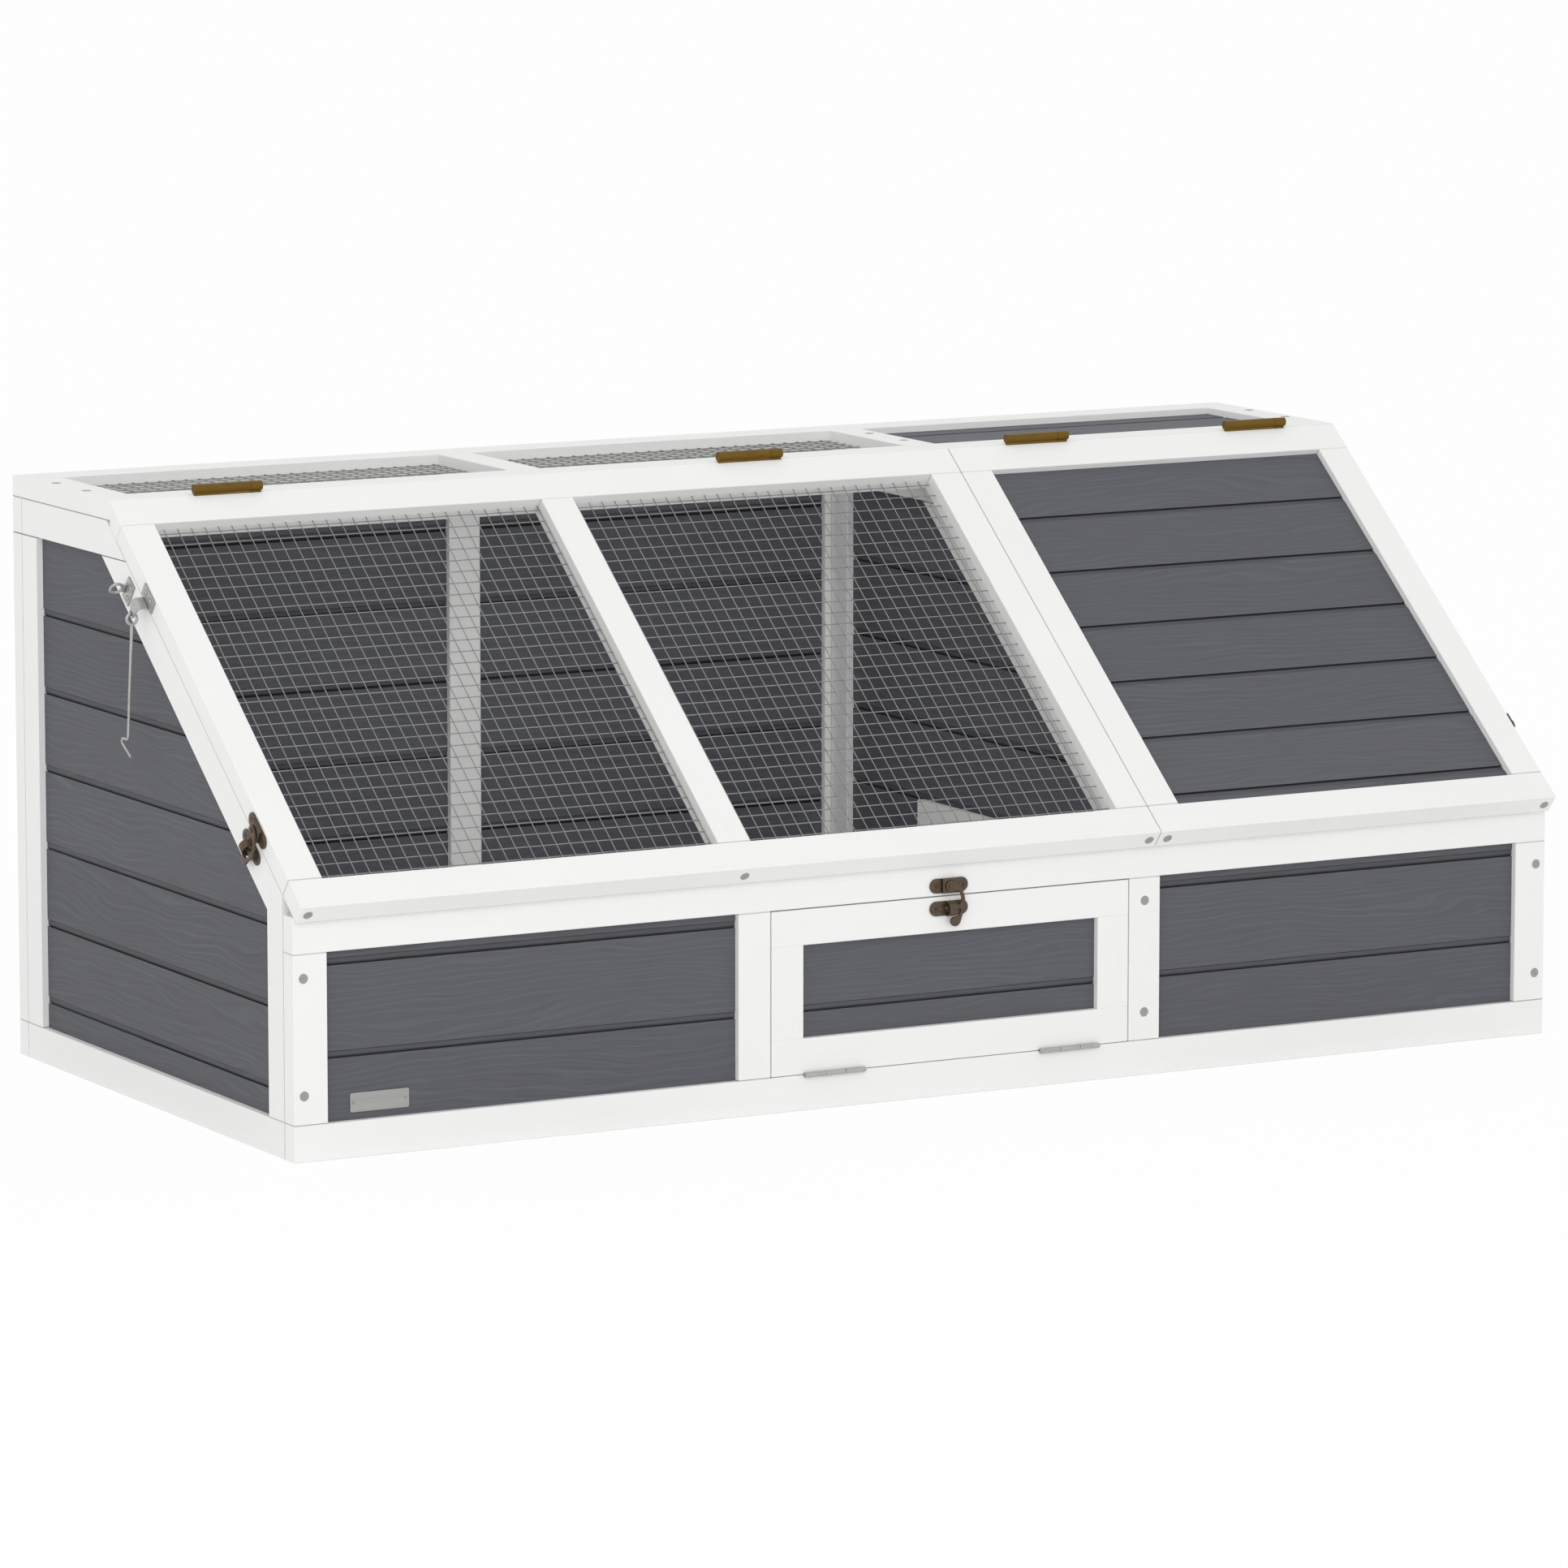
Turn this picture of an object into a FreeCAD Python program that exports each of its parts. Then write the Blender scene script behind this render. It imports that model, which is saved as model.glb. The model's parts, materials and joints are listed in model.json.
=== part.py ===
"""Tortoise enclosure: a low wooden run with a sloping front, two hinged lids and a drop-down door.

Every piece is drawn from one sheet of sizes, in millimetres, and written to parts/ under its own name.
Positions are first given from the case's front left bottom corner: x to the right, y to the back, z up.
The sheet's left_x and front_y then move that corner, so that the origin is the middle of the underside.
"""

import FreeCAD, Part
import math
import os
import Sketcher

SIZES = (
    ("width", "1200", "outside width of the case"),
    ("depth", "548", "front face to back face, without the lid's overhang"),
    ("height", "500", "ground to the flat top"),
    ("front_height", "200", "ground to the top of the front wall"),
    ("top_depth", "200", "depth of the flat top behind the ridge"),
    ("stock_width", "30", "face width of the frame timber"),
    ("stock_thick", "18", "thickness of the frame timber"),
    ("edge_ease", "0.5", "eased edge of the frame timber"),
    ("doorway_front", "175", "front edge of the inner doorway's frame"),
    ("doorway_back", "373", "back edge of the inner doorway's frame"),
    ("top_back_width", "34", "width of the flat top's back rail"),
    ("nose_reach", "16.6", "how far a lid stands in front of the front wall"),
    ("lid_gap", "0.6", "play between a lid's underside and the slope rails"),
    ("ridge_gap", "0.6", "gap between a lid's upper end and the flat top"),
    ("lid_seam_gap", "1", "gap between the two lids"),
    ("door_gap", "1", "gap at the door's sides and top"),
    ("door_seam", "0.6", "gap under the door"),
    ("board_thick", "6", "thickness of the matchboards"),
    ("board_gap", "1.2", "open line between two matchboards"),
    ("wall_pitch", "66.7", "board spacing of the sides, back, inner wall, lid and top"),
    ("front_pitch", "76", "board spacing of the front and the door"),
    ("front_first_gap", "52.2", "first open line of the front, above its base rail"),
    ("lid_first_gap", "16", "first open line of the right lid, above its lower rail"),
    ("top_lap", "30", "width cut from the first board of the flat top"),
    ("band_height", "5", "height of the stepped band along a board's grooved edge"),
    ("band_depth", "0.8", "depth of that step"),
    ("tongue_half", "0.7", "half the thickness of a board's tongue"),
    ("groove_half", "1", "half the width of a board's groove"),
    ("tongue_lap", "4.5", "length of tongue inside the next board"),
    ("groove_depth", "5.2", "depth of a board's groove"),
    ("net_bar", "1.6", "width and thickness of a net's bars"),
    ("net_pitch", "25.4", "aimed spacing of a net's bars"),
    ("hinge_first", "76.7", "left lid's left end to its first hinge"),
    ("hinge_second", "228.2", "left lid's second hinge to its right end"),
    ("hinge_third", "58", "right lid's left end to its first hinge"),
    ("hinge_fourth", "114.7", "right lid's second hinge to its right end"),
    ("door_hinge_in", "30", "door's sides to its hinges"),
    ("hinge_clear", "0.3", "play round the hinge knuckles"),
    ("pin_clear", "0.05", "play between a hinge pin and its bore"),
    ("leaf_thick", "1.2", "thickness of a hinge leaf"),
    ("leaf_width", "14", "width of a hinge leaf"),
    ("lid_hinge_length", "62.5", "length of a lid hinge"),
    ("lid_hinge_share", "0.82", "part of that length turned by the lid"),
    ("lid_knuckle", "3.9", "outer radius of a lid hinge's knuckles"),
    ("lid_pin", "1.5", "radius of a lid hinge's pin"),
    ("door_hinge_length", "57", "length of a door hinge"),
    ("door_knuckle", "2.2", "outer radius of a door hinge's knuckles"),
    ("door_pin", "0.9", "radius of a door hinge's pin"),
    ("plate_length", "36.6", "length of a latch plate"),
    ("plate_round", "6.2", "radius of a latch plate's round ends"),
    ("plate_thick", "1.5", "thickness of the latch and stay plates"),
    ("plate_lead", "17.6", "latch pivot to the far end of its plates"),
    ("bridge_half", "7.9", "half the length of a latch's raised bridge"),
    ("bridge_top", "4.4", "top of that bridge above the wood"),
    ("rivet", "1.6", "radius of a latch's rivet"),
    ("latch_play", "0.2", "play above and below a latch's hook"),
    ("hook_thick", "2", "thickness of a latch's hook"),
    ("hook_eye", "5", "radius of the hook's round head"),
    ("hook_arm", "11.2", "how far the hook's arm stands beside the pivot"),
    ("hook_drop", "18.8", "pivot to the hook's finger"),
    ("finger_reach", "5.2", "how far the finger passes the pivot"),
    ("tail_drop", "31.6", "pivot to the hook's round tail"),
    ("catch_drop", "19.2", "pivot to the middle of the catch plate"),
    ("strap_thick", "1.2", "thickness of the catch's round strap"),
    ("strap_rise", "3", "straight legs of the strap, above the catch plate"),
    ("strap_near", "3", "strap's edge beyond the pivot"),
    ("strap_far", "4.5", "strap's edge on the arm's side of the pivot"),
    ("latch_hole", "12.2", "pivot to the far screw of a latch plate"),
    ("latch_hole_near", "14", "pivot to the near screw of a latch plate"),
    ("small_hole", "1.35", "radius of the screw holes in the plates"),
    ("door_latch_aside", "4.6", "pivot of the door latch left of the door's middle"),
    ("door_latch_up", "8.5", "pivot of the door latch above the door's head"),
    ("lid_latch_up", "94.8", "pivot of a lid latch from the lid's nose"),
    ("stay_up", "358.5", "middle of a stay bracket from the lid's nose"),
    ("stay_length", "23.5", "length of a stay bracket's plate"),
    ("stay_width", "12.5", "width of a stay bracket's plate"),
    ("stay_screw_up", "1.2", "screws of a stay bracket above its plate's middle line"),
    ("stay_leaf", "12.5", "width of the leaf that stands out from the plate's lower edge"),
    ("stay_bend", "4", "outer radius of the bend between leaf and tab"),
    ("stay_reach", "10.9", "side of the case to the middle of the bracket's tab"),
    ("stay_drop", "16.6", "bracket's middle square down to the hole in its tab"),
    ("stay_strip", "1.6", "thickness of the bracket's leaf and tab"),
    ("stay_round", "4", "radius of the tab's round end"),
    ("stay_hole", "2.1", "radius of the hole in the tab"),
    ("eye_up", "390", "middle of a stay eye from the lid's nose"),
    ("eye_rise", "1", "middle of a stay eye above the slope rail's middle line"),
    ("eye_length", "21.5", "length of a stay eye's plate across the slope rail"),
    ("eye_width", "13.6", "width of a stay eye's plate"),
    ("eye_leaf", "11", "width of the eye's leaf where it leaves the plate"),
    ("eye_shift", "4.5", "leaf and ring up the slope from the plate's middle"),
    ("eye_screw", "2.7", "screws down the slope from the plate's middle"),
    ("eye_ring", "5.2", "middle radius of the eye's ring"),
    ("eye_wire", "1.25", "radius of the eye's wire"),
    ("eye_out", "10.3", "side of the case to the middle of the ring"),
    ("rod_wire", "1.2", "radius of a stay rod's wire"),
    ("rod_ring", "4.6", "middle radius of the rod's ring"),
    ("rod_length", "105", "hole in the tab to the rod's first bend"),
    ("rod_bend", "3", "radius of the rod's first bend"),
    ("rod_turn", "2.2", "radius of the rod's return bend"),
    ("rod_kick", "9.6", "first bend to the return bend"),
    ("rod_sweep", "151.5", "angle of the return bend in degrees"),
    ("rod_tip", "20", "straight tip behind the return bend"),
    ("rod_lean", "2.6", "outward lean of the rod in degrees"),
    ("screw_head", "4.2", "radius of a wood screw's head"),
    ("screw_head_height", "2.4", "height of a wood screw's head"),
    ("screw_shank", "2", "radius of a wood screw's shank"),
    ("screw_length", "40", "length of a wood screw"),
    ("screw_proud", "0.2", "how far a wood screw's head stands out"),
    ("screw_low", "54.3", "lower screw of each wall's end, above the ground"),
    ("screw_below", "20", "upper front screw below the front's top rail"),
    ("back_screw_below", "32", "upper back screw below the back's top rail"),
    ("top_screw_near", "0.265", "front screw of the flat top, as a share of its bays' depth"),
    ("top_screw_far", "0.72", "back screw of the flat top, as a share of its bays' depth"),
    ("nose_screw_in", "8.5", "outer screws of a lid's nose, from its ends"),
    ("small_head", "2.4", "radius of a plate screw's head"),
    ("small_head_height", "1.2", "height of a plate screw's head"),
    ("small_shank", "1.2", "radius of a plate screw's shank"),
    ("small_length", "10", "length of a plate screw under its head"),
    ("badge_x", "78", "middle of the bare plate from the left"),
    ("badge_z", "44", "middle of the bare plate from the ground"),
    ("badge_length", "54", "length of the bare plate"),
    ("badge_height", "20", "height of the bare plate"),
    ("badge_thick", "1", "thickness of the bare plate"),
    ("run", "=depth - top_depth", "front face to the ridge"),
    ("rise", "=height - front_height", "front wall's top to the flat top"),
    ("pitch", "=acos((stock_thick + lid_gap) / hypot(run; rise)) - atan2(run; rise)", "slope of the lids"),
    ("lid_length", "=(run - ridge_gap + nose_reach) / cos(pitch)", "length of a lid along the slope"),
    ("slope_drop", "=stock_width / cos(pitch)", "plumb height of a slope rail"),
    ("nose_y", "=-nose_reach", "lid's upper front edge from the front face"),
    ("nose_z", "=height - ridge_gap * tan(pitch) - lid_length * sin(pitch)", "height of that edge"),
    ("left_x", "=-width / 2", "left side of the case in the part's frame"),
    ("front_y", "=-(nose_y + edge_ease * sin(pitch) + depth + screw_proud) / 2", "front face in that frame"),
    ("panel_back", "=depth - stock_thick", "inner face of the back wall"),
    ("stile_front", "=stock_thick + stock_width", "back edge of a side's front stile"),
    ("stile_back", "=panel_back - stock_width", "front edge of a side's back stile"),
    ("wall_top", "=height - stock_thick", "underside of the flat top"),
    ("wall_rail", "=wall_top - stock_width", "underside of the walls' top rails"),
    ("wall_count", "=ceil((wall_rail - stock_width) / wall_pitch)", "boards in the height of a wall"),
    ("wall_first", "=wall_rail - wall_count * wall_pitch + board_gap / 2", "lowest wall board's edge"),
    ("doorway_top", "=wall_first + 3 * wall_pitch", "inner doorway frame's top, at a board's edge"),
    ("jamb_left", "=0.3375 * width", "left edge of the left jamb, front and back"),
    ("jamb_right", "=0.65 * width", "left edge of the right jamb, front and back"),
    ("divider_x", "=jamb_right + stock_width / 2", "middle plane of the inner wall"),
    ("cross_left", "=0.3225 * width", "left edge of the flat top's left cross rail"),
    ("cross_right", "=divider_x - 19", "left edge of the flat top's right cross rail"),
    ("lid_seam", "=divider_x + 6.5", "middle of the gap between the two lids"),
    ("lid_mid", "=0.325 * width", "left edge of the left lid's middle stile"),
    ("jamb_inner", "=jamb_left + stock_width", "left edge of the front doorway"),
    ("jamb_outer", "=jamb_right + stock_width", "right edge of the right jamb"),
    ("door_low", "=stock_width + door_seam", "lower edge of the door"),
    ("door_high", "=front_height - stock_width - door_gap", "upper edge of the door"),
    ("door_left", "=jamb_inner + door_gap", "left edge of the door"),
    ("door_right", "=jamb_right - door_gap", "right edge of the door"),
    ("door_latch_x", "=(door_left + door_right) / 2 - door_latch_aside", "pivot of the door latch from the left"),
    ("front_first", "=stock_width + front_first_gap + board_gap / 2 - front_pitch", "lowest front board"),
    ("front_rail", "=front_height - stock_width", "underside of the front's top rail"),
    ("front_count", "=ceil((front_rail - front_first) / front_pitch)", "boards in the front's height"),
    ("door_count", "=ceil((door_high - stock_width - front_first) / front_pitch)", "boards in the door"),
    ("left_lid_end", "=lid_seam - lid_seam_gap / 2", "right edge of the left lid"),
    ("right_lid_start", "=lid_seam + lid_seam_gap / 2", "left edge of the right lid"),
    ("lid_opening", "=lid_length - 2 * stock_width", "length between a lid's rails"),
    ("lid_count", "=ceil((lid_opening - lid_first_gap) / wall_pitch) + 1", "boards in the right lid"),
    ("top_inner", "=run + stock_width", "back edge of the flat top's front rail"),
    ("top_outer", "=depth - top_back_width", "front edge of the flat top's back rail"),
    ("top_span", "=top_outer - top_inner", "depth of the flat top's bays"),
    ("top_count", "=ceil((top_span + top_lap) / wall_pitch)", "boards in the flat top"),
    ("lid_axis_y", "=run - ridge_gap / 2", "lid hinge axis behind the front face"),
    ("lid_axis_z", "=height + hinge_clear + lid_knuckle", "lid hinge axis above the ground"),
    ("door_axis_y", "=-(hinge_clear + door_knuckle)", "door hinge axis, in front of the front face"),
    ("door_axis_z", "=stock_width + door_seam / 2", "door hinge axis above the ground"),
    ("hook_base", "=bridge_top + latch_play", "inner face of a latch's hook above the wood"),
    ("rivet_top", "=hook_base + hook_thick + latch_play", "underside of the rivet's head"),
    ("strap_outer", "=plate_round", "outer radius of the catch's strap"),
    ("strap_inner", "=plate_round - strap_thick", "inner radius of the catch's strap"),
    ("eye_depth", "=eye_rise - stock_thick - lid_gap - stock_width / 2", "stay eye's middle below the lid"),
)

doc = FreeCAD.newDocument("tortoise_enclosure")
dim = doc.addObject("Spreadsheet::Sheet", "Dim")
for row, (alias, value, note) in enumerate(SIZES, 1):
    dim.set(f"A{row}", value)
    dim.set(f"B{row}", note)
    dim.setAlias(f"A{row}", alias)
doc.recompute()

nodes = []


def size(text):
    """Value of an expression of the sheet, as a plain number."""
    value = dim.evalExpression(text)
    return float(getattr(value, "Value", value))


def node(label, *pieces):
    """Names one piece, or a group of pieces, that is written to its own file."""
    if len(pieces) == 1:
        item = pieces[0]
    else:
        item = doc.addObject("Part::Compound", label)
        item.Links = list(pieces)
    item.Label = label
    nodes.append(item)
    return item


def pin(sketch, curve, end, point):
    """Fixes a point of a curve at two sizes of the sheet."""
    for kind, text in zip(("DistanceX", "DistanceY"), point):
        number = sketch.addConstraint(Sketcher.Constraint(kind, -1, 1, curve, end, size(text)))
        sketch.setExpression(f"Constraints[{number}]", text)


def polygon(sketch, points):
    first = sketch.GeometryCount
    corners = [FreeCAD.Vector(size(a), size(b), 0) for a, b in points]
    for a, b in zip(corners, corners[1:] + corners[:1]):
        sketch.addGeometry(Part.LineSegment(a, b))
    for n, point in enumerate(points):
        following = first + (n + 1) % len(points)
        sketch.addConstraint(Sketcher.Constraint("Coincident", first + n, 2, following, 1))
        pin(sketch, first + n, 1, point)


def disc(sketch, centre, radius):
    middle = FreeCAD.Vector(size(centre[0]), size(centre[1]), 0)
    curve = sketch.addGeometry(Part.Circle(middle, FreeCAD.Vector(0, 0, 1), size(radius)))
    pin(sketch, curve, 3, centre)
    number = sketch.addConstraint(Sketcher.Constraint("Radius", curve, size(radius)))
    sketch.setExpression(f"Constraints[{number}]", radius)


def slot(sketch, start, end, radius):
    """A bar with two round ends, given by the middles of the ends."""
    a, b = (FreeCAD.Vector(size(p[0]), size(p[1]), 0) for p in (start, end))
    reach = size(radius)
    turn = math.atan2(b.y - a.y, b.x - a.x) + math.pi / 2
    across = FreeCAD.Vector(math.cos(turn), math.sin(turn), 0) * reach
    up = FreeCAD.Vector(0, 0, 1)
    sketch.addGeometry(Part.ArcOfCircle(Part.Circle(a, up, reach), turn, turn + math.pi))
    sketch.addGeometry(Part.LineSegment(a - across, b - across))
    sketch.addGeometry(Part.ArcOfCircle(Part.Circle(b, up, reach), turn + math.pi, turn + 2 * math.pi))
    sketch.addGeometry(Part.LineSegment(b + across, a + across))
    for n in range(4):
        sketch.addConstraint(Sketcher.Constraint("Tangent", n, 2, (n + 1) % 4, 1))
    pin(sketch, 0, 3, start)
    pin(sketch, 2, 3, end)
    number = sketch.addConstraint(Sketcher.Constraint("Radius", 0, reach))
    sketch.setExpression(f"Constraints[{number}]", radius)


def sketch_on(body, role, level="0"):
    """A sketch on one of the body's own planes, moved along that plane's normal."""
    plane = next(f for f in body.Origin.OriginFeatures if f.Role == role)
    sketch = body.newObject("Sketcher::SketchObject", f"{body.Name}_sketch")
    sketch.AttachmentSupport = (plane, [""])
    sketch.MapMode = "FlatFace"
    sketch.setExpression("AttachmentOffset.Base.z", level)
    return sketch


def layer(body, role, low, high, draw, *shape, cut=False):
    """Adds, or cuts, one drawn shape between two levels along the plane's normal."""
    sketch = sketch_on(body, role, low)
    draw(sketch, *shape)
    kind = "Pocket" if cut else "Pad"
    feature = body.newObject(f"PartDesign::{kind}", f"{body.Name}_{kind}")
    feature.Profile = sketch
    feature.setExpression("Length", f"({high}) - ({low})")
    feature.Reversed = cut
    body.Tip = feature
    return feature


def rect(left, right, low, high):
    return [(left, low), (right, low), (right, high), (left, high)]


def new_body(name):
    return doc.addObject("PartDesign::Body", name)


def put(item, x, y="0", z="0", turn="rotationx(0)"):
    """Places a piece by its distances from the case's front left bottom corner."""
    corner = f"vector(Dim.left_x + ({x}); Dim.front_y + ({y}); {z})"
    item.setExpression("Placement", f"placement({corner}; {turn})")
    return item


def lid_y(up, out):
    return f"Dim.nose_y + ({up}) * cos(Dim.pitch) - ({out}) * sin(Dim.pitch)"


def lid_z(up, out):
    return f"Dim.nose_z + ({up}) * sin(Dim.pitch) + ({out}) * cos(Dim.pitch)"


def timber(name, left, right, outline, lid=False):
    """A length of frame timber: an outline seen from the left, drawn out along x, edges eased."""
    body = new_body(name)
    pad = layer(body, "YZ_Plane", "0", f"({right}) - ({left})", polygon, outline)
    ease = body.newObject("PartDesign::Chamfer", f"{name}_ease")
    ease.Base = (pad, [""])
    ease.UseAllEdges = True
    ease.setExpression("Size", "Dim.edge_ease")
    body.Tip = ease
    if lid:
        return put(body, left, "Dim.nose_y", "Dim.nose_z", "rotationx(Dim.pitch)")
    return put(body, left)


def recessed(name, wood, boxes):
    """Wood with a shallow seat cut for each hinge leaf."""
    tools = []
    for x, length, y0, y1, z0, z1 in boxes:
        box = doc.addObject("Part::Box", f"{name}_seat")
        box.setExpression("Length", length)
        box.setExpression("Width", f"({y1}) - ({y0})")
        box.setExpression("Height", f"({z1}) - ({z0})")
        tools.append(put(box, x, y0, z0))
    seats = doc.addObject("Part::Compound", f"{name}_seats")
    seats.Links = tools
    cut = doc.addObject("Part::Cut", name)
    cut.Base = wood
    cut.Tool = seats
    return cut


def board_section(first, pitch):
    """Half-lapped section of a tongued and grooved board, its grooved edge at the height first."""
    half = "Dim.board_thick / 2"
    band = f"{half} - Dim.band_depth"
    step = f"{first} + Dim.band_height"
    top = f"{first} + {pitch} - Dim.board_gap"
    tip = f"{first} + {pitch} + Dim.tongue_lap"
    bed = f"{first} + Dim.groove_depth"
    side = [
        ("Dim.groove_half", bed),
        ("Dim.groove_half", first),
        (band, first),
        (band, step),
        (half, step),
        (half, top),
        ("Dim.tongue_half", top),
        ("Dim.tongue_half", tip),
    ]
    return side + [(f"-({a})", b) for a, b in reversed(side)]


def boards(name, left, right, first, pitch, count, outline):
    """Matchboards that lie along x, stacked along z and trimmed to the outline of their bay."""
    body = new_body(name)
    pad = layer(body, "YZ_Plane", left, right, polygon, board_section(first, pitch))
    stack = body.newObject("PartDesign::LinearPattern", f"{name}_stack")
    stack.Originals = [pad]
    stack.Direction = (pad.Profile[0], ["V_Axis"])
    stack.Mode = "Spacing"
    stack.setExpression("Offset", pitch)
    body.Tip = stack
    stack.setExpression("Occurrences", count)
    trim = sketch_on(body, "XZ_Plane")
    polygon(trim, rect("-2 * Dim.width", "2 * Dim.width", "-2 * Dim.width", "2 * Dim.width"))
    polygon(trim, outline)
    pocket = body.newObject("PartDesign::Pocket", f"{name}_trim")
    pocket.Profile = trim
    pocket.Type = "ThroughAll"
    pocket.SideType = "Symmetric"
    body.Tip = pocket
    return body


def net(name, length, height):
    """One flat sheet with a grid of square gaps, lying in x and y."""
    wide = size(length)
    tall = size(height)
    bar = size("Dim.net_bar")
    columns = round(wide / size("Dim.net_pitch"))
    rows = round(tall / size("Dim.net_pitch"))
    step_x = wide / columns
    step_y = tall / rows
    sheet = Part.makePlane(wide, tall, FreeCAD.Vector(0, 0, -bar / 2))
    wires = [sheet.OuterWire]
    for column in range(columns):
        for line in range(rows):
            corner = FreeCAD.Vector(column * step_x + bar / 2, line * step_y + bar / 2, -bar / 2)
            gap = Part.makePlane(step_x - bar, step_y - bar, corner).OuterWire
            gap.reverse()
            wires.append(gap)
    face = Part.Face(wires)
    item = doc.addObject("Part::Feature", name)
    item.Shape = face.extrude(FreeCAD.Vector(0, 0, bar))
    return item


# The frames of the walls. Each side wall and the inner wall are five timbers of the same outline.


def on_slope(z, below="0"):
    return f"(({z}) + ({below}) - Dim.front_height) / tan(Dim.pitch)"


def slope_at(y, below="0"):
    return f"Dim.front_height + ({y}) * tan(Dim.pitch) - ({below})"


def wall_frame(name, left):
    right = f"{left} + Dim.stock_thick"
    front = "Dim.stock_thick"
    low = rect(front, "Dim.panel_back", "0", "Dim.stock_width")
    high = [
        (on_slope("Dim.wall_rail"), "Dim.wall_rail"),
        ("Dim.panel_back", "Dim.wall_rail"),
        ("Dim.panel_back", "Dim.wall_top"),
        (on_slope("Dim.wall_top"), "Dim.wall_top"),
    ]
    post = [
        (front, "Dim.stock_width"),
        ("Dim.stile_front", "Dim.stock_width"),
        ("Dim.stile_front", slope_at("Dim.stile_front")),
        (front, slope_at(front)),
    ]
    back = rect("Dim.stile_back", "Dim.panel_back", "Dim.stock_width", "Dim.wall_rail")
    slope = [
        ("Dim.stile_front", slope_at("Dim.stile_front", "Dim.slope_drop")),
        (on_slope("Dim.wall_rail", "Dim.slope_drop"), "Dim.wall_rail"),
        (on_slope("Dim.wall_rail"), "Dim.wall_rail"),
        ("Dim.stile_front", slope_at("Dim.stile_front")),
    ]
    rails = [timber(f"{name}_rail", left, right, outline) for outline in (low, high)]
    stiles = [timber(f"{name}_stile", left, right, outline) for outline in (post, back)]
    return rails, stiles, timber(f"{name}_slope", left, right, slope)


wall_bay = [
    ("Dim.stile_front", "Dim.stock_width"),
    ("Dim.stile_back", "Dim.stock_width"),
    ("Dim.stile_back", "Dim.wall_rail"),
    (on_slope("Dim.wall_rail", "Dim.slope_drop"), "Dim.wall_rail"),
    ("Dim.stile_front", slope_at("Dim.stile_front", "Dim.slope_drop")),
]
doorway_notch = [
    ("Dim.doorway_front", "Dim.stock_width"),
    ("Dim.doorway_front", "Dim.doorway_top"),
    ("Dim.doorway_back", "Dim.doorway_top"),
    ("Dim.doorway_back", "Dim.stock_width"),
]
slope_rails = []
for wall, left, bay in (
    ("left_side", "0", wall_bay),
    ("right_side", "Dim.width - Dim.stock_thick", wall_bay),
    ("divider", "Dim.divider_x - Dim.stock_thick / 2", wall_bay[:1] + doorway_notch + wall_bay[1:]),
):
    rails, stiles, slope = wall_frame(wall, left)
    node(f"{wall}_rails", *rails)
    node(f"{wall}_stiles", *stiles)
    slope_rails.append(slope)
    ends = ("Dim.stile_front", "Dim.stile_back")
    panel = boards(f"{wall}_panel", *ends, "Dim.wall_first", "Dim.wall_pitch", "Dim.wall_count", bay)
    if wall == "divider":
        tongue_end = "Dim.doorway_top + Dim.groove_depth"
        lost = rect("Dim.doorway_front", "Dim.doorway_back", "Dim.doorway_top", tongue_end)
        layer(panel, "XZ_Plane", "-Dim.groove_half", "Dim.groove_half", polygon, lost, cut=True)
    node(f"{wall}_boards", put(panel, f"{left} + Dim.stock_thick / 2", turn="rotationz(90)"))
node("slope_rails", *slope_rails)

header_low = "Dim.doorway_top - Dim.stock_width"
divider_left = "Dim.divider_x - Dim.stock_thick / 2"
divider_right = "Dim.divider_x + Dim.stock_thick / 2"
header = rect("Dim.doorway_front", "Dim.doorway_back", header_low, "Dim.doorway_top")
trim_edges = (
    ("Dim.doorway_front", "Dim.doorway_front + Dim.stock_width"),
    ("Dim.doorway_back - Dim.stock_width", "Dim.doorway_back"),
)
doorway = [timber("doorway_header", divider_left, divider_right, header)]
for near, far in trim_edges:
    edge = rect(near, far, "Dim.stock_width", header_low)
    doorway.append(timber("doorway_stile", divider_left, divider_right, edge))
node("doorway_frame", *doorway)

# Front and back walls: rails over the whole width, uprights and boards between them.

bays = (
    ("Dim.stock_width", "Dim.jamb_left"),
    ("Dim.jamb_inner", "Dim.jamb_right"),
    ("Dim.jamb_outer", "Dim.width - Dim.stock_width"),
)
uprights = (
    ("0", "Dim.stock_width"),
    ("Dim.jamb_left", "Dim.jamb_inner"),
    ("Dim.jamb_right", "Dim.jamb_outer"),
    ("Dim.width - Dim.stock_width", "Dim.width"),
)
front_rail = "Dim.front_rail"
base = timber("front_base", "0", "Dim.width", rect("0", "Dim.stock_thick", "0", "Dim.stock_width"))
last_door_hinge = "Dim.door_right - Dim.door_hinge_in - Dim.door_hinge_length"
door_hinges = ("Dim.door_left + Dim.door_hinge_in", last_door_hinge)
seat_low = "Dim.stock_width - Dim.leaf_thick"
leaf_seats = []
for x in door_hinges:
    leaf_seats.append((x, "Dim.door_hinge_length", "0", "Dim.leaf_width", seat_low, "Dim.stock_width"))
node("front_base_rail", recessed("front_base_seated", base, leaf_seats))
head = rect("0", "Dim.stock_thick", front_rail, "Dim.front_height")
node("front_top_rail", timber("front_head", "0", "Dim.width", head))
front_upright = rect("0", "Dim.stock_thick", "Dim.stock_width", front_rail)
posts = [timber("front_post", a, b, front_upright) for a, b in uprights]
node("front_posts", posts[0], posts[3])
node("front_jambs", posts[1], posts[2])
panels = []
for a, b in (bays[0], bays[2]):
    bay = rect(a, b, "Dim.stock_width", front_rail)
    panel = boards("front_panel", a, b, "Dim.front_first", "Dim.front_pitch", "Dim.front_count", bay)
    panels.append(put(panel, "0", "Dim.stock_thick / 2"))
node("front_boards", *panels)

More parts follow.
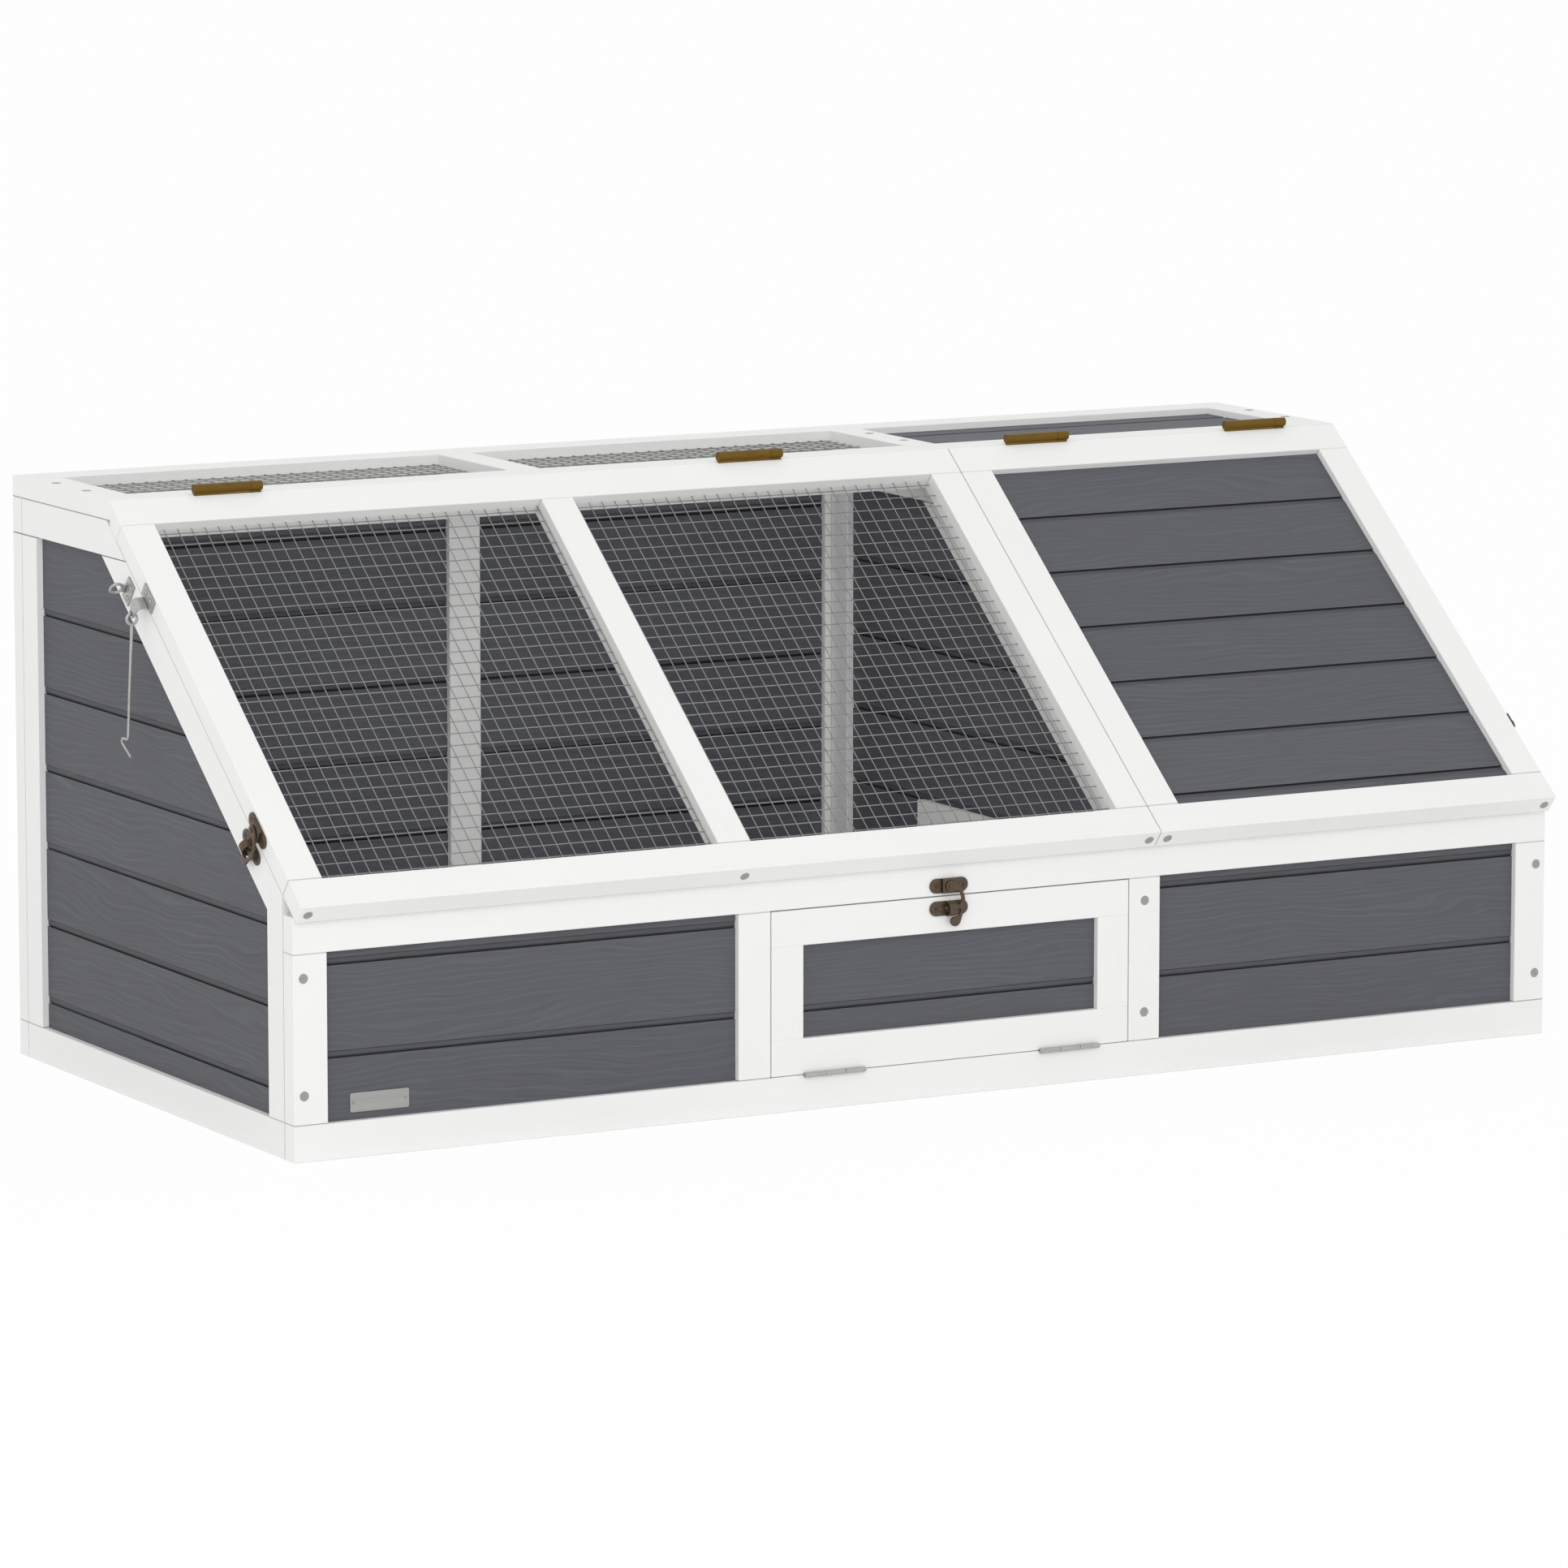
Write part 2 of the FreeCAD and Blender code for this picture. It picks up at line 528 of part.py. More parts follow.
back_low = rect("Dim.panel_back", "Dim.depth", "0", "Dim.stock_width")
back_high = rect("Dim.panel_back", "Dim.depth", "Dim.wall_rail", "Dim.wall_top")
back_upright = rect("Dim.panel_back", "Dim.depth", "Dim.stock_width", "Dim.wall_rail")
node("back_base_rail", timber("back_base", "0", "Dim.width", back_low))
node("back_top_rail", timber("back_head", "0", "Dim.width", back_high))
node("back_stiles", *[timber("back_stile", a, b, back_upright) for a, b in uprights])
panels = []
for a, b in bays:
    bay = rect(a, b, "Dim.stock_width", "Dim.wall_rail")
    panel = boards("back_panel", a, b, "Dim.stock_width", "Dim.wall_pitch", "Dim.wall_count", bay)
    panels.append(put(panel, "0", "Dim.panel_back + Dim.stock_thick / 2"))
node("back_boards", *panels)

# The flat top: long rails over the whole width, end and cross rails between them, two nets and boards.

lid_hinges = {
    "left": ("Dim.hinge_first", "Dim.left_lid_end - Dim.hinge_second"),
    "right": ("Dim.right_lid_start + Dim.hinge_third", "Dim.width - Dim.hinge_fourth"),
}
leaf_low = "Dim.height - Dim.leaf_width"
fixed_leaf = "Dim.run + Dim.leaf_thick"
front_long = rect("Dim.run", "Dim.top_inner", "Dim.wall_top", "Dim.height")
back_long = rect("Dim.top_outer", "Dim.depth", "Dim.wall_top", "Dim.height")
leaf_seats = []
for x in lid_hinges["left"] + lid_hinges["right"]:
    leaf_seats.append((x, "Dim.lid_hinge_length", "Dim.run", fixed_leaf, leaf_low, "Dim.height"))
top_front = timber("top_front", "0", "Dim.width", front_long)
top_back = timber("top_back", "0", "Dim.width", back_long)
node("top_long_rails", recessed("top_front_seated", top_front, leaf_seats), top_back)
cross = rect("Dim.top_inner", "Dim.top_outer", "Dim.wall_top", "Dim.height")
cross_left_end = "Dim.cross_left + Dim.stock_width"
cross_right_end = "Dim.cross_right + Dim.stock_width"
top_ends = (uprights[0], uprights[3])
node("top_end_rails", *[timber("top_end", a, b, cross) for a, b in top_ends])
top_crosses = (("Dim.cross_left", cross_left_end), ("Dim.cross_right", cross_right_end))
node("top_cross_rails", *[timber("top_cross", a, b, cross) for a, b in top_crosses])
top_level = "Dim.height - Dim.stock_thick / 2"
top_nets = []
for a, b in (("Dim.stock_width", "Dim.cross_left"), (cross_left_end, "Dim.cross_right")):
    top_nets.append(put(net("top_net", f"{b} - ({a})", "Dim.top_span"), a, "Dim.top_inner", top_level))
node("top_meshes", *top_nets)
bay = rect(cross_right_end, bays[2][1], "0", "Dim.top_span")
top_stack = ("-Dim.top_lap", "Dim.wall_pitch", "Dim.top_count")
panel = boards("top_panel", cross_right_end, bays[2][1], *top_stack, bay)
node("top_boards", put(panel, "0", "Dim.top_inner", top_level, "rotationx(-90)"))

# The two lids: full-width rails, stiles between them; nets in the left lid, boards in the right one.

lid_low = rect("0", "Dim.stock_width", "-Dim.stock_thick", "0")
lid_high = [
    ("Dim.lid_length - Dim.stock_width", "-Dim.stock_thick"),
    ("Dim.lid_length - Dim.stock_thick * tan(Dim.pitch)", "-Dim.stock_thick"),
    ("Dim.lid_length", "0"),
    ("Dim.lid_length - Dim.stock_width", "0"),
]
lid_side = rect("Dim.stock_width", "Dim.lid_length - Dim.stock_width", "-Dim.stock_thick", "0")
lid_end = "Dim.run - Dim.ridge_gap"
moving_leaf = f"{lid_end} - Dim.leaf_thick"
mid_end = "Dim.lid_mid + Dim.stock_width"
left_inner = "Dim.left_lid_end - Dim.stock_width"
right_inner = "Dim.right_lid_start + Dim.stock_width"
lid_uprights = {
    "left": (uprights[0], ("Dim.lid_mid", mid_end), (left_inner, "Dim.left_lid_end")),
    "right": (("Dim.right_lid_start", right_inner), uprights[3]),
}
lid_ends = {"left": ("0", "Dim.left_lid_end"), "right": ("Dim.right_lid_start", "Dim.width")}
for side, (a, b) in lid_ends.items():
    lower = timber(f"{side}_lid_low", a, b, lid_low, lid=True)
    upper = timber(f"{side}_lid_high", a, b, lid_high, lid=True)
    leaf_seats = []
    for x in lid_hinges[side]:
        leaf_seats.append((x, "Dim.lid_hinge_length", moving_leaf, lid_end, leaf_low, "Dim.height"))
    node(f"{side}_lid_rails", lower, recessed(f"{side}_lid_seated", upper, leaf_seats))
    stiles = [timber(f"{side}_lid_stile", c, d, lid_side, lid=True) for c, d in lid_uprights[side]]
    node(f"{side}_lid_stiles", *stiles)
lid_nets = []
net_y = lid_y("Dim.stock_width", "-Dim.stock_thick / 2")
net_z = lid_z("Dim.stock_width", "-Dim.stock_thick / 2")
for a, b in (("Dim.stock_width", "Dim.lid_mid"), (mid_end, left_inner)):
    sheet = net("lid_net", f"{b} - ({a})", "Dim.lid_opening")
    lid_nets.append(put(sheet, a, net_y, net_z, "rotationx(Dim.pitch)"))
node("left_lid_meshes", *lid_nets)
lid_drop = "Dim.lid_first_gap + (Dim.lid_count - 1) * Dim.wall_pitch"
lid_stack = (f"Dim.lid_opening + Dim.board_gap / 2 - ({lid_drop})", "Dim.wall_pitch", "Dim.lid_count")
bay = rect(right_inner, bays[2][1], "0", "Dim.lid_opening")
panel = boards("right_lid_panel", right_inner, bays[2][1], *lid_stack, bay)
panel_top = ("Dim.lid_length - Dim.stock_width", "-Dim.stock_thick / 2")
put(panel, "0", lid_y(*panel_top), lid_z(*panel_top), "rotationx(Dim.pitch + 90 deg)")
node("right_lid_boards", panel)

# The drop-down door.

door_stile_high = "Dim.door_high - Dim.stock_width"
door_stile_low = "Dim.door_low + Dim.stock_width"
door_bar = rect("0", "Dim.stock_thick", "Dim.door_low", door_stile_low)
door_bottom = timber("door_bottom", "Dim.door_left", "Dim.door_right", door_bar)
seat_high = "Dim.door_low + Dim.leaf_thick"
leaf_seats = []
for x in door_hinges:
    leaf_seats.append((x, "Dim.door_hinge_length", "0", "Dim.leaf_width", "Dim.door_low", seat_high))
door_bar = rect("0", "Dim.stock_thick", door_stile_high, "Dim.door_high")
door_top = timber("door_top", "Dim.door_left", "Dim.door_right", door_bar)
node("door_rails", recessed("door_seated", door_bottom, leaf_seats), door_top)
door_inner = "Dim.door_left + Dim.stock_width"
door_outer = "Dim.door_right - Dim.stock_width"
door_upright = rect("0", "Dim.stock_thick", door_stile_low, door_stile_high)
door_edges = (("Dim.door_left", door_inner), (door_outer, "Dim.door_right"))
node("door_stiles", *[timber("door_stile", a, b, door_upright) for a, b in door_edges])
bay = rect(door_inner, door_outer, door_stile_low, door_stile_high)
door_stack = ("Dim.front_first", "Dim.front_pitch", "Dim.door_count")
panel = boards("door_panel", door_inner, door_outer, *door_stack, bay)
node("door_boards", put(panel, "0", "Dim.stock_thick / 2"))

# Hinges: each leaf is one piece with its knuckles, and a pin runs through both leaves.


def hinge_leaf(name, x, length, plate, neck, knuckles, axis, radius, bore):
    body = new_body(name)
    layer(body, "YZ_Plane", "0", length, polygon, plate)
    for near, far in knuckles:
        layer(body, "YZ_Plane", near, far, polygon, neck)
        layer(body, "YZ_Plane", near, far, disc, axis, radius)
    for near, far in knuckles:
        layer(body, "YZ_Plane", near, far, disc, axis, bore, cut=True)
    return put(body, x)


def hinge_pin(name, x, length, axis, radius):
    body = new_body(name)
    layer(body, "YZ_Plane", "0", length, disc, axis, radius)
    return put(body, x)


lid_axis = ("Dim.lid_axis_y", "Dim.lid_axis_z")
lid_bore = "Dim.lid_pin + Dim.pin_clear"
lid_split = "Dim.lid_hinge_length * Dim.lid_hinge_share"
neck_top = "Dim.lid_axis_z - Dim.lid_knuckle / 2"
flush = "Dim.height - (Dim.ridge_gap + Dim.leaf_thick) * tan(Dim.pitch)"
half_play = "Dim.hinge_clear / 2"
fixed_leaves = []
lid_pins = []
for side, places in lid_hinges.items():
    leaves = []
    for x in places:
        leaves.append(
            hinge_leaf(
                f"{side}_lid_leaf",
                x,
                "Dim.lid_hinge_length",
                rect(moving_leaf, lid_end, leaf_low, flush),
                rect(moving_leaf, lid_end, f"{flush} - Dim.leaf_thick", neck_top),
                [("0", f"{lid_split} - {half_play}")],
                lid_axis,
                "Dim.lid_knuckle",
                lid_bore,
            )
        )
        fixed_leaves.append(
            hinge_leaf(
                "top_leaf",
                x,
                "Dim.lid_hinge_length",
                rect("Dim.run", fixed_leaf, leaf_low, "Dim.height"),
                rect("Dim.run", fixed_leaf, "Dim.height - Dim.leaf_thick", neck_top),
                [(f"{lid_split} + {half_play}", "Dim.lid_hinge_length")],
                lid_axis,
                "Dim.lid_knuckle",
                lid_bore,
            )
        )
        lid_pins.append(hinge_pin("lid_pin", x, "Dim.lid_hinge_length", lid_axis, "Dim.lid_pin"))
    node(f"{side}_lid_hinge_leaves", *leaves)
node("lid_hinge_fixed_leaves", *fixed_leaves)
node("lid_hinge_pins", *lid_pins)

door_axis = ("Dim.door_axis_y", "Dim.door_axis_z")
door_bore = "Dim.door_pin + Dim.pin_clear"
third = "Dim.door_hinge_length / 3"
neck_front = "Dim.door_axis_y + Dim.door_knuckle / 2"
middle_knuckle = [(f"{third} + {half_play}", f"2 * {third} - {half_play}")]
outer_knuckles = [("0", f"{third} - {half_play}"), (f"2 * {third} + {half_play}", "Dim.door_hinge_length")]
door_leaves = []
base_leaves = []
door_pins = []
for x in door_hinges:
    for name, low, high, knuckles, leaves in (
        ("door_leaf", "Dim.door_low", seat_high, middle_knuckle, door_leaves),
        ("base_leaf", seat_low, "Dim.stock_width", outer_knuckles, base_leaves),
    ):
        leaves.append(
            hinge_leaf(
                name,
                x,
                "Dim.door_hinge_length",
                rect("0", "Dim.leaf_width", low, high),
                rect(neck_front, "Dim.leaf_thick", low, high),
                knuckles,
                door_axis,
                "Dim.door_knuckle",
                door_bore,
            )
        )
    door_pins.append(hinge_pin("door_pin", x, "Dim.door_hinge_length", door_axis, "Dim.door_pin"))
node("door_hinge_leaves", *door_leaves)
node("door_hinge_fixed_leaves", *base_leaves)
node("door_hinge_pins", *door_pins)

# Latches, drawn flat with the pivot at the origin: x along the plates, z up, the wood at y = 0.
# All three are alike, with the hook's arm to the right of its pivot.


def latch_plate(body, drop):
    start = ("Dim.plate_round - Dim.plate_lead", drop)
    end = ("Dim.plate_length - Dim.plate_lead - Dim.plate_round", drop)
    layer(body, "XZ_Plane", "0", "Dim.plate_thick", slot, start, end, "Dim.plate_round")


def plate_holes(body, points, role="XZ_Plane", low="0", high="Dim.plate_thick"):
    for point in points:
        layer(body, role, low, high, disc, point, "Dim.small_hole", cut=True)


def latch_holes(drop):
    return [("-Dim.latch_hole", drop), ("Dim.latch_hole_near", drop)]


def latch_base(name):
    body = new_body(name)
    latch_plate(body, "0")
    bridge = rect("-Dim.bridge_half", "Dim.bridge_half", "-Dim.plate_round", "Dim.plate_round")
    layer(body, "XZ_Plane", "0", "Dim.bridge_top", polygon, bridge)
    layer(body, "XZ_Plane", "0", "Dim.rivet_top", disc, ("0", "0"), "Dim.rivet")
    head = "Dim.rivet_top + Dim.rivet / 2"
    layer(body, "XZ_Plane", "Dim.rivet_top", head, disc, ("0", "0"), "1.5 * Dim.rivet")
    plate_holes(body, latch_holes("0"))
    return body


def latch_hook(name):
    body = new_body(name)
    low = "Dim.hook_base"
    high = "Dim.hook_base + Dim.hook_thick"
    eye = ("0", "0")
    elbow = ("0.94 * Dim.hook_arm", "-0.35 * Dim.hook_drop")
    corner = ("Dim.hook_arm", "-Dim.hook_drop")
    finger = ("-Dim.finger_reach", "-Dim.hook_drop")
    waist = ("0.6 * Dim.hook_arm", "-0.87 * Dim.tail_drop")
    tail = ("0.27 * Dim.hook_arm", "-Dim.tail_drop")
    layer(body, "XZ_Plane", low, high, disc, eye, "Dim.hook_eye")
    layer(body, "XZ_Plane", low, high, slot, eye, elbow, "0.46 * Dim.hook_eye")
    layer(body, "XZ_Plane", low, high, slot, elbow, corner, "0.44 * Dim.hook_eye")
    layer(body, "XZ_Plane", low, high, slot, corner, finger, "0.34 * Dim.hook_eye")
    layer(body, "XZ_Plane", low, high, slot, corner, waist, "0.42 * Dim.hook_eye")
    layer(body, "XZ_Plane", low, high, disc, tail, "0.86 * Dim.hook_eye")
    layer(body, "XZ_Plane", low, high, disc, eye, "Dim.rivet + Dim.pin_clear", cut=True)
    return body


def latch_catch(name):
    """A plate with an arched strap: a half ring on two straight legs."""
    body = new_body(name)
    across = ("YZ_Plane", "-Dim.strap_near", "Dim.strap_far")
    level = "-(Dim.plate_thick + Dim.strap_rise)"
    below = rect(level, "2 * Dim.plate_round", "-2 * Dim.catch_drop", "0")
    layer(body, *across, disc, (level, "-Dim.catch_drop"), "Dim.strap_outer")
    layer(body, *across, disc, (level, "-Dim.catch_drop"), "Dim.strap_inner", cut=True)
    layer(body, *across, polygon, below, cut=True)
    for low, high in (("-Dim.strap_outer", "-Dim.strap_inner"), ("Dim.strap_inner", "Dim.strap_outer")):
        leg = rect(level, "0", f"{low} - Dim.catch_drop", f"{high} - Dim.catch_drop")
        layer(body, *across, polygon, leg)
    latch_plate(body, "-Dim.catch_drop")
    plate_holes(body, latch_holes("-Dim.catch_drop"))
    return body


def on_lid(item, side, up, out):
    """Turns a flat-drawn fitting to a side of the case, square to the slope."""
    x, turn = ("0", "-90") if side == "left" else ("Dim.width", "90")
    return put(item, x, lid_y(up, out), lid_z(up, out), f"rotationx(Dim.pitch) * rotationz({turn})")


latch_z = f"{front_rail} + Dim.door_latch_up"
node("door_latch_base", put(latch_base("door_base"), "Dim.door_latch_x", "0", latch_z))
node("door_latch_hook", put(latch_hook("door_hook"), "Dim.door_latch_x", "0", latch_z))
node("door_latch_catch", put(latch_catch("door_catch"), "Dim.door_latch_x", "0", latch_z))
edge_mid = "-Dim.stock_thick / 2"
catches = []
for side in ("left", "right"):
    node(f"{side}_latch_base", on_lid(latch_base(f"{side}_base"), side, "Dim.lid_latch_up", edge_mid))
    node(f"{side}_latch_hook", on_lid(latch_hook(f"{side}_hook"), side, "Dim.lid_latch_up", edge_mid))
    catches.append(on_lid(latch_catch(f"{side}_catch"), side, "Dim.lid_latch_up", edge_mid))
node("lid_latch_catches", *catches)

# Lid stays: an eye on each slope rail, a bracket on each lid's edge and a wire rod that hangs from it.
# Left and right are mirror images, so a side's hand gives the sign of its x.
HANDS = (("left", -1), ("right", 1))


def eye_holes(hand):
    along = f"{-hand} * Dim.eye_screw"
    return [(along, "-0.24 * Dim.eye_length"), (along, "0.24 * Dim.eye_length")]


def stay_eye(name, side, hand):
    """A plate with a leaf that narrows into a ring, drawn flat like the latches."""
    along = f"{hand} * Dim.eye_shift"
    wide = "Dim.eye_width / 2"
    tall = "Dim.eye_length / 2"
    root = "Dim.eye_leaf / 2"
    meets = "-(Dim.eye_out - Dim.eye_ring)"
    sheet = [("0", f"-{root}"), ("0", root), (meets, f"0.6 * {root}"), (meets, f"-0.6 * {root}")]
    body = new_body(f"{name}_leaf")
    layer(body, "XZ_Plane", "0", "Dim.plate_thick", polygon, rect(f"-{wide}", wide, f"-{tall}", tall))
    layer(body, "YZ_Plane", f"{along} - 0.8 * Dim.eye_wire", f"{along} + 0.8 * Dim.eye_wire", polygon, sheet)
    plate_holes(body, eye_holes(hand))
    ring = doc.addObject("Part::Torus", f"{name}_ring")
    ring.setExpression("Radius1", "Dim.eye_ring")
    ring.setExpression("Radius2", "Dim.eye_wire")
    ring.setExpression("Placement", f"placement(vector({along}; -Dim.eye_out; 0); rotationy(90))")
    eye = doc.addObject("Part::MultiFuse", name)
    eye.Shapes = [body, ring]
    return on_lid(eye, side, "Dim.eye_up", "Dim.eye_depth")


node("stay_eyes", *[stay_eye(f"{side}_eye", side, hand) for side, hand in HANDS])

hole_out = f"{edge_mid} - Dim.stay_drop"
hole_y = lid_y("Dim.stay_up", hole_out)
hole_z = lid_z("Dim.stay_up", hole_out)
bracket_holes = [(f"{sign}0.22 * Dim.stay_length", "Dim.stay_screw_up") for sign in ("-", "")]


def stay_bracket(side):
    """A bent sheet, drawn flat like the latches: plate, leaf, round bend and tab."""
    long = "Dim.stay_length / 2"
    wide = "Dim.stay_width / 2"
    leaf = "Dim.stay_leaf / 2"
    near = "Dim.stay_reach - Dim.stay_strip / 2"
    far = "Dim.stay_reach + Dim.stay_strip / 2"
    inner = "Dim.stay_bend - Dim.stay_strip"
    y = f"Dim.stay_bend - ({far})"
    z = f"Dim.stay_strip - {wide} - Dim.stay_bend"
    around = "2 * Dim.stay_bend"
    body = new_body(f"{side}_bracket")
    across = ("YZ_Plane", f"-{leaf}", leaf)
    layer(body, *across, disc, (y, z), "Dim.stay_bend")
    layer(body, *across, disc, (y, z), inner, cut=True)
    layer(body, *across, polygon, rect(y, f"{y} + {around}", f"{z} - {around}", f"{z} + {around}"), cut=True)
    layer(body, *across, polygon, rect(f"{y} - {around}", y, f"{z} - {around}", z), cut=True)
    layer(body, *across, polygon, rect(y, "0", f"{z} + {inner}", f"{z} + Dim.stay_bend"))
    hole = ("0", "-Dim.stay_drop")
    tab = [(f"-{leaf}", z), (leaf, z), ("Dim.stay_round", hole[1]), ("-Dim.stay_round", hole[1])]
    layer(body, "XZ_Plane", near, far, polygon, tab)
    layer(body, "XZ_Plane", near, far, disc, hole, "Dim.stay_round")
    layer(body, "XZ_Plane", near, far, disc, hole, "Dim.stay_hole", cut=True)
    layer(body, "XZ_Plane", "0", "Dim.plate_thick", polygon, rect(f"-{long}", long, f"-{wide}", wide))
    plate_holes(body, bracket_holes)
    return on_lid(body, side, "Dim.stay_up", edge_mid)


def stay_rod(side):
    """A wire with a closed ring at the top and a double bend at the free end."""
    wire = size("Dim.rod_wire")
    ring = size("Dim.rod_ring")
    bend = size("Dim.rod_bend")
    turn = size("Dim.rod_turn")
    kick = size("Dim.rod_kick")
    level = -size("Dim.rod_length")
    sweep = math.radians(size("Dim.rod_sweep"))

    def at(y, z):
        return FreeCAD.Vector(0, y, z)

    def around(middle, radius, angle):
        return middle + at(radius * math.cos(angle), radius * math.sin(angle))

    first = at(bend, level + bend)
    back = at(kick, level - turn)
    last = around(back, turn, math.pi / 2 - sweep)
    along = at(-math.sin(sweep - math.pi / 2), -math.cos(sweep - math.pi / 2))
    top = at(0, -2 * ring)
    path = Part.Wire(
        [
            Part.makeLine(top, at(0, level + bend)),
            Part.Arc(at(0, level + bend), around(first, bend, math.radians(225)), at(bend, level)).toShape(),
            Part.makeLine(at(bend, level), at(kick, level)),
            Part.Arc(at(kick, level), around(back, turn, (math.pi - sweep) / 2), last).toShape(),
            Part.makeLine(last, last + along * size("Dim.rod_tip")),
        ]
    )
    profile = Part.Wire(Part.makeCircle(wire, top, FreeCAD.Vector(0, 0, -1)))
    shank = path.makePipeShell([profile], True, False)
    loop = Part.makeTorus(ring, wire, at(0, -ring), FreeCAD.Vector(0, 1, 0))
    rod = doc.addObject("Part::Feature", f"{side}_rod")
    rod.Shape = loop.fuse(shank)
    x, lean = ("-Dim.stay_reach", "Dim.rod_lean")
    if side == "right":
        x, lean = ("Dim.width + Dim.stay_reach", "-Dim.rod_lean")
    return put(rod, x, hole_y, hole_z, f"rotationy({lean})")


for side in ("left", "right"):
    node(f"{side}_stay_bracket", stay_bracket(side))
    node(f"{side}_stay_rod", stay_rod(side))

# The bare plate on the left front boards.

badge = new_body("badge")
badge_face = "(Dim.stock_thick - Dim.board_thick) / 2"
half_badge = "0.5 * Dim.badge_length"
half_tall = "0.5 * Dim.badge_height"
badge_edge = rect(f"-{half_badge}", half_badge, f"-{half_tall}", half_tall)
layer(badge, "XZ_Plane", "0", "Dim.badge_thick", polygon, badge_edge)
node("blank_plate", put(badge, "Dim.badge_x", badge_face, "Dim.badge_z"))

# Screws: one pattern for each kind, turned and copied to its places. A head's outer side looks along z.


def screw(name, radius, height, shank, length, cone):
    body = new_body(name)
    outline = sketch_on(body, "XZ_Plane")
    tip = f"-({length})"
    profile = [("0", tip), (shank, f"{tip} + 2 * {shank}")]
    if cone:
        profile += [(shank, f"-{height}"), (radius, "0"), ("0", "0")]
    else:
        profile += [(shank, "0"), (radius, "0"), (radius, f"0.4 * {height}")]
        profile += [(f"0.7 * {radius}", height), ("0", height)]
    polygon(outline, profile)
    turned = body.newObject("PartDesign::Revolution", f"{name}_turned")
    turned.Profile = outline
    turned.ReferenceAxis = (outline, ["V_Axis"])
    turned.Angle = 360
    arm = f"0.55 * {radius}"
    slit = f"0.11 * {radius}"
    face = "0" if cone else height
    for points in (rect(f"-{arm}", arm, f"-{slit}", slit), rect(f"-{slit}", slit, f"-{arm}", arm)):
        layer(body, "XY_Plane", f"{face} - 0.45 * {height}", face, polygon, points, cut=True)
    return body


wood_sizes = ("Dim.screw_head", "Dim.screw_head_height", "Dim.screw_shank", "Dim.screw_length")
plate_sizes = ("Dim.small_head", "Dim.small_head_height", "Dim.small_shank", "Dim.small_length")
wood_screw = screw("wood_screw", *wood_sizes, cone=True)
plate_screw = screw("plate_screw", *plate_sizes, cone=False)
doc.recompute()

tilt = math.radians(size("Dim.pitch"))
FRONT = FreeCAD.Vector(0, -1, 0)
BACK = FreeCAD.Vector(0, 1, 0)
UP = FreeCAD.Vector(0, 0, 1)
NOSE = FreeCAD.Vector(0, -math.cos(tilt), -math.sin(tilt))
OUTWARD = {"left": FreeCAD.Vector(-1, 0, 0), "right": FreeCAD.Vector(1, 0, 0)}
SIDE_X = {"left": "-Dim.plate_thick", "right": "Dim.width + Dim.plate_thick"}


def screws(label, places):
    copies = []
    for pattern, x, y, z, facing in places:
        spot = FreeCAD.Vector(size("Dim.left_x") + size(x), size("Dim.front_y") + size(y), size(z))
        if pattern is wood_screw:
            spot = spot + facing * size("Dim.screw_proud")
        copy = pattern.Shape.copy()
        copy.Placement = FreeCAD.Placement(spot, FreeCAD.Rotation(UP, facing))
        copies.append(copy)
    item = doc.addObject("Part::Feature", label)
    item.Shape = Part.makeCompound(copies)
    node(label, item)


def edge_screws(side, up, out, points):
    """Plate screws of a flat-drawn fitting on a side of the case."""
    hand = -1 if side == "left" else 1
    places = []
    for x, z in points:
        along = f"{up} + {hand} * ({x})"
        across = f"{out} + ({z})"
        places.append((plate_screw, SIDE_X[side], lid_y(along, across), lid_z(along, across), OUTWARD[side]))
    return places


outer_lines = ("Dim.stock_thick / 2", "Dim.divider_x", "Dim.width - Dim.stock_thick / 2")
case_places = []
for x in outer_lines:
    for z in ("Dim.screw_low", "Dim.front_rail - Dim.screw_below"):
        case_places.append((wood_screw, x, "0", z, FRONT))
    for z in ("Dim.screw_low", "Dim.wall_rail - Dim.back_screw_below"):
        case_places.append((wood_screw, x, "Dim.depth", z, BACK))
    for share in ("Dim.top_screw_near", "Dim.top_screw_far"):
        y = f"Dim.top_inner + {share} * Dim.top_span"
        case_places.append((wood_screw, x, y, "Dim.height", UP))
for x, drop in latch_holes("0"):
    case_places.append((plate_screw, f"Dim.door_latch_x + {x}", "-Dim.plate_thick", latch_z, FRONT))
for side, hand in HANDS:
    case_places += edge_screws(side, "Dim.lid_latch_up", edge_mid, latch_holes("-Dim.catch_drop"))
    case_places += edge_screws(side, "Dim.eye_up", "Dim.eye_depth", eye_holes(hand))
screws("case_screws", case_places)

nose = (lid_y("0", edge_mid), lid_z("0", edge_mid))
mid_line = "Dim.lid_mid + Dim.stock_width / 2"
nose_lines = {
    "left": ("Dim.nose_screw_in", mid_line, "Dim.left_lid_end - Dim.nose_screw_in"),
    "right": ("Dim.right_lid_start + Dim.nose_screw_in", "Dim.width - Dim.nose_screw_in"),
}
for side in ("left", "right"):
    places = [(wood_screw, x, *nose, NOSE) for x in nose_lines[side]]
    places += edge_screws(side, "Dim.lid_latch_up", edge_mid, latch_holes("0"))
    places += edge_screws(side, "Dim.stay_up", edge_mid, bracket_holes)
    screws(f"{side}_lid_screws", places)
door_places = []
for x, drop in latch_holes("-Dim.catch_drop"):
    spot = (f"Dim.door_latch_x + {x}", "-Dim.plate_thick", f"{latch_z} + ({drop})")
    door_places.append((plate_screw, *spot, FRONT))
screws("door_screws", door_places)

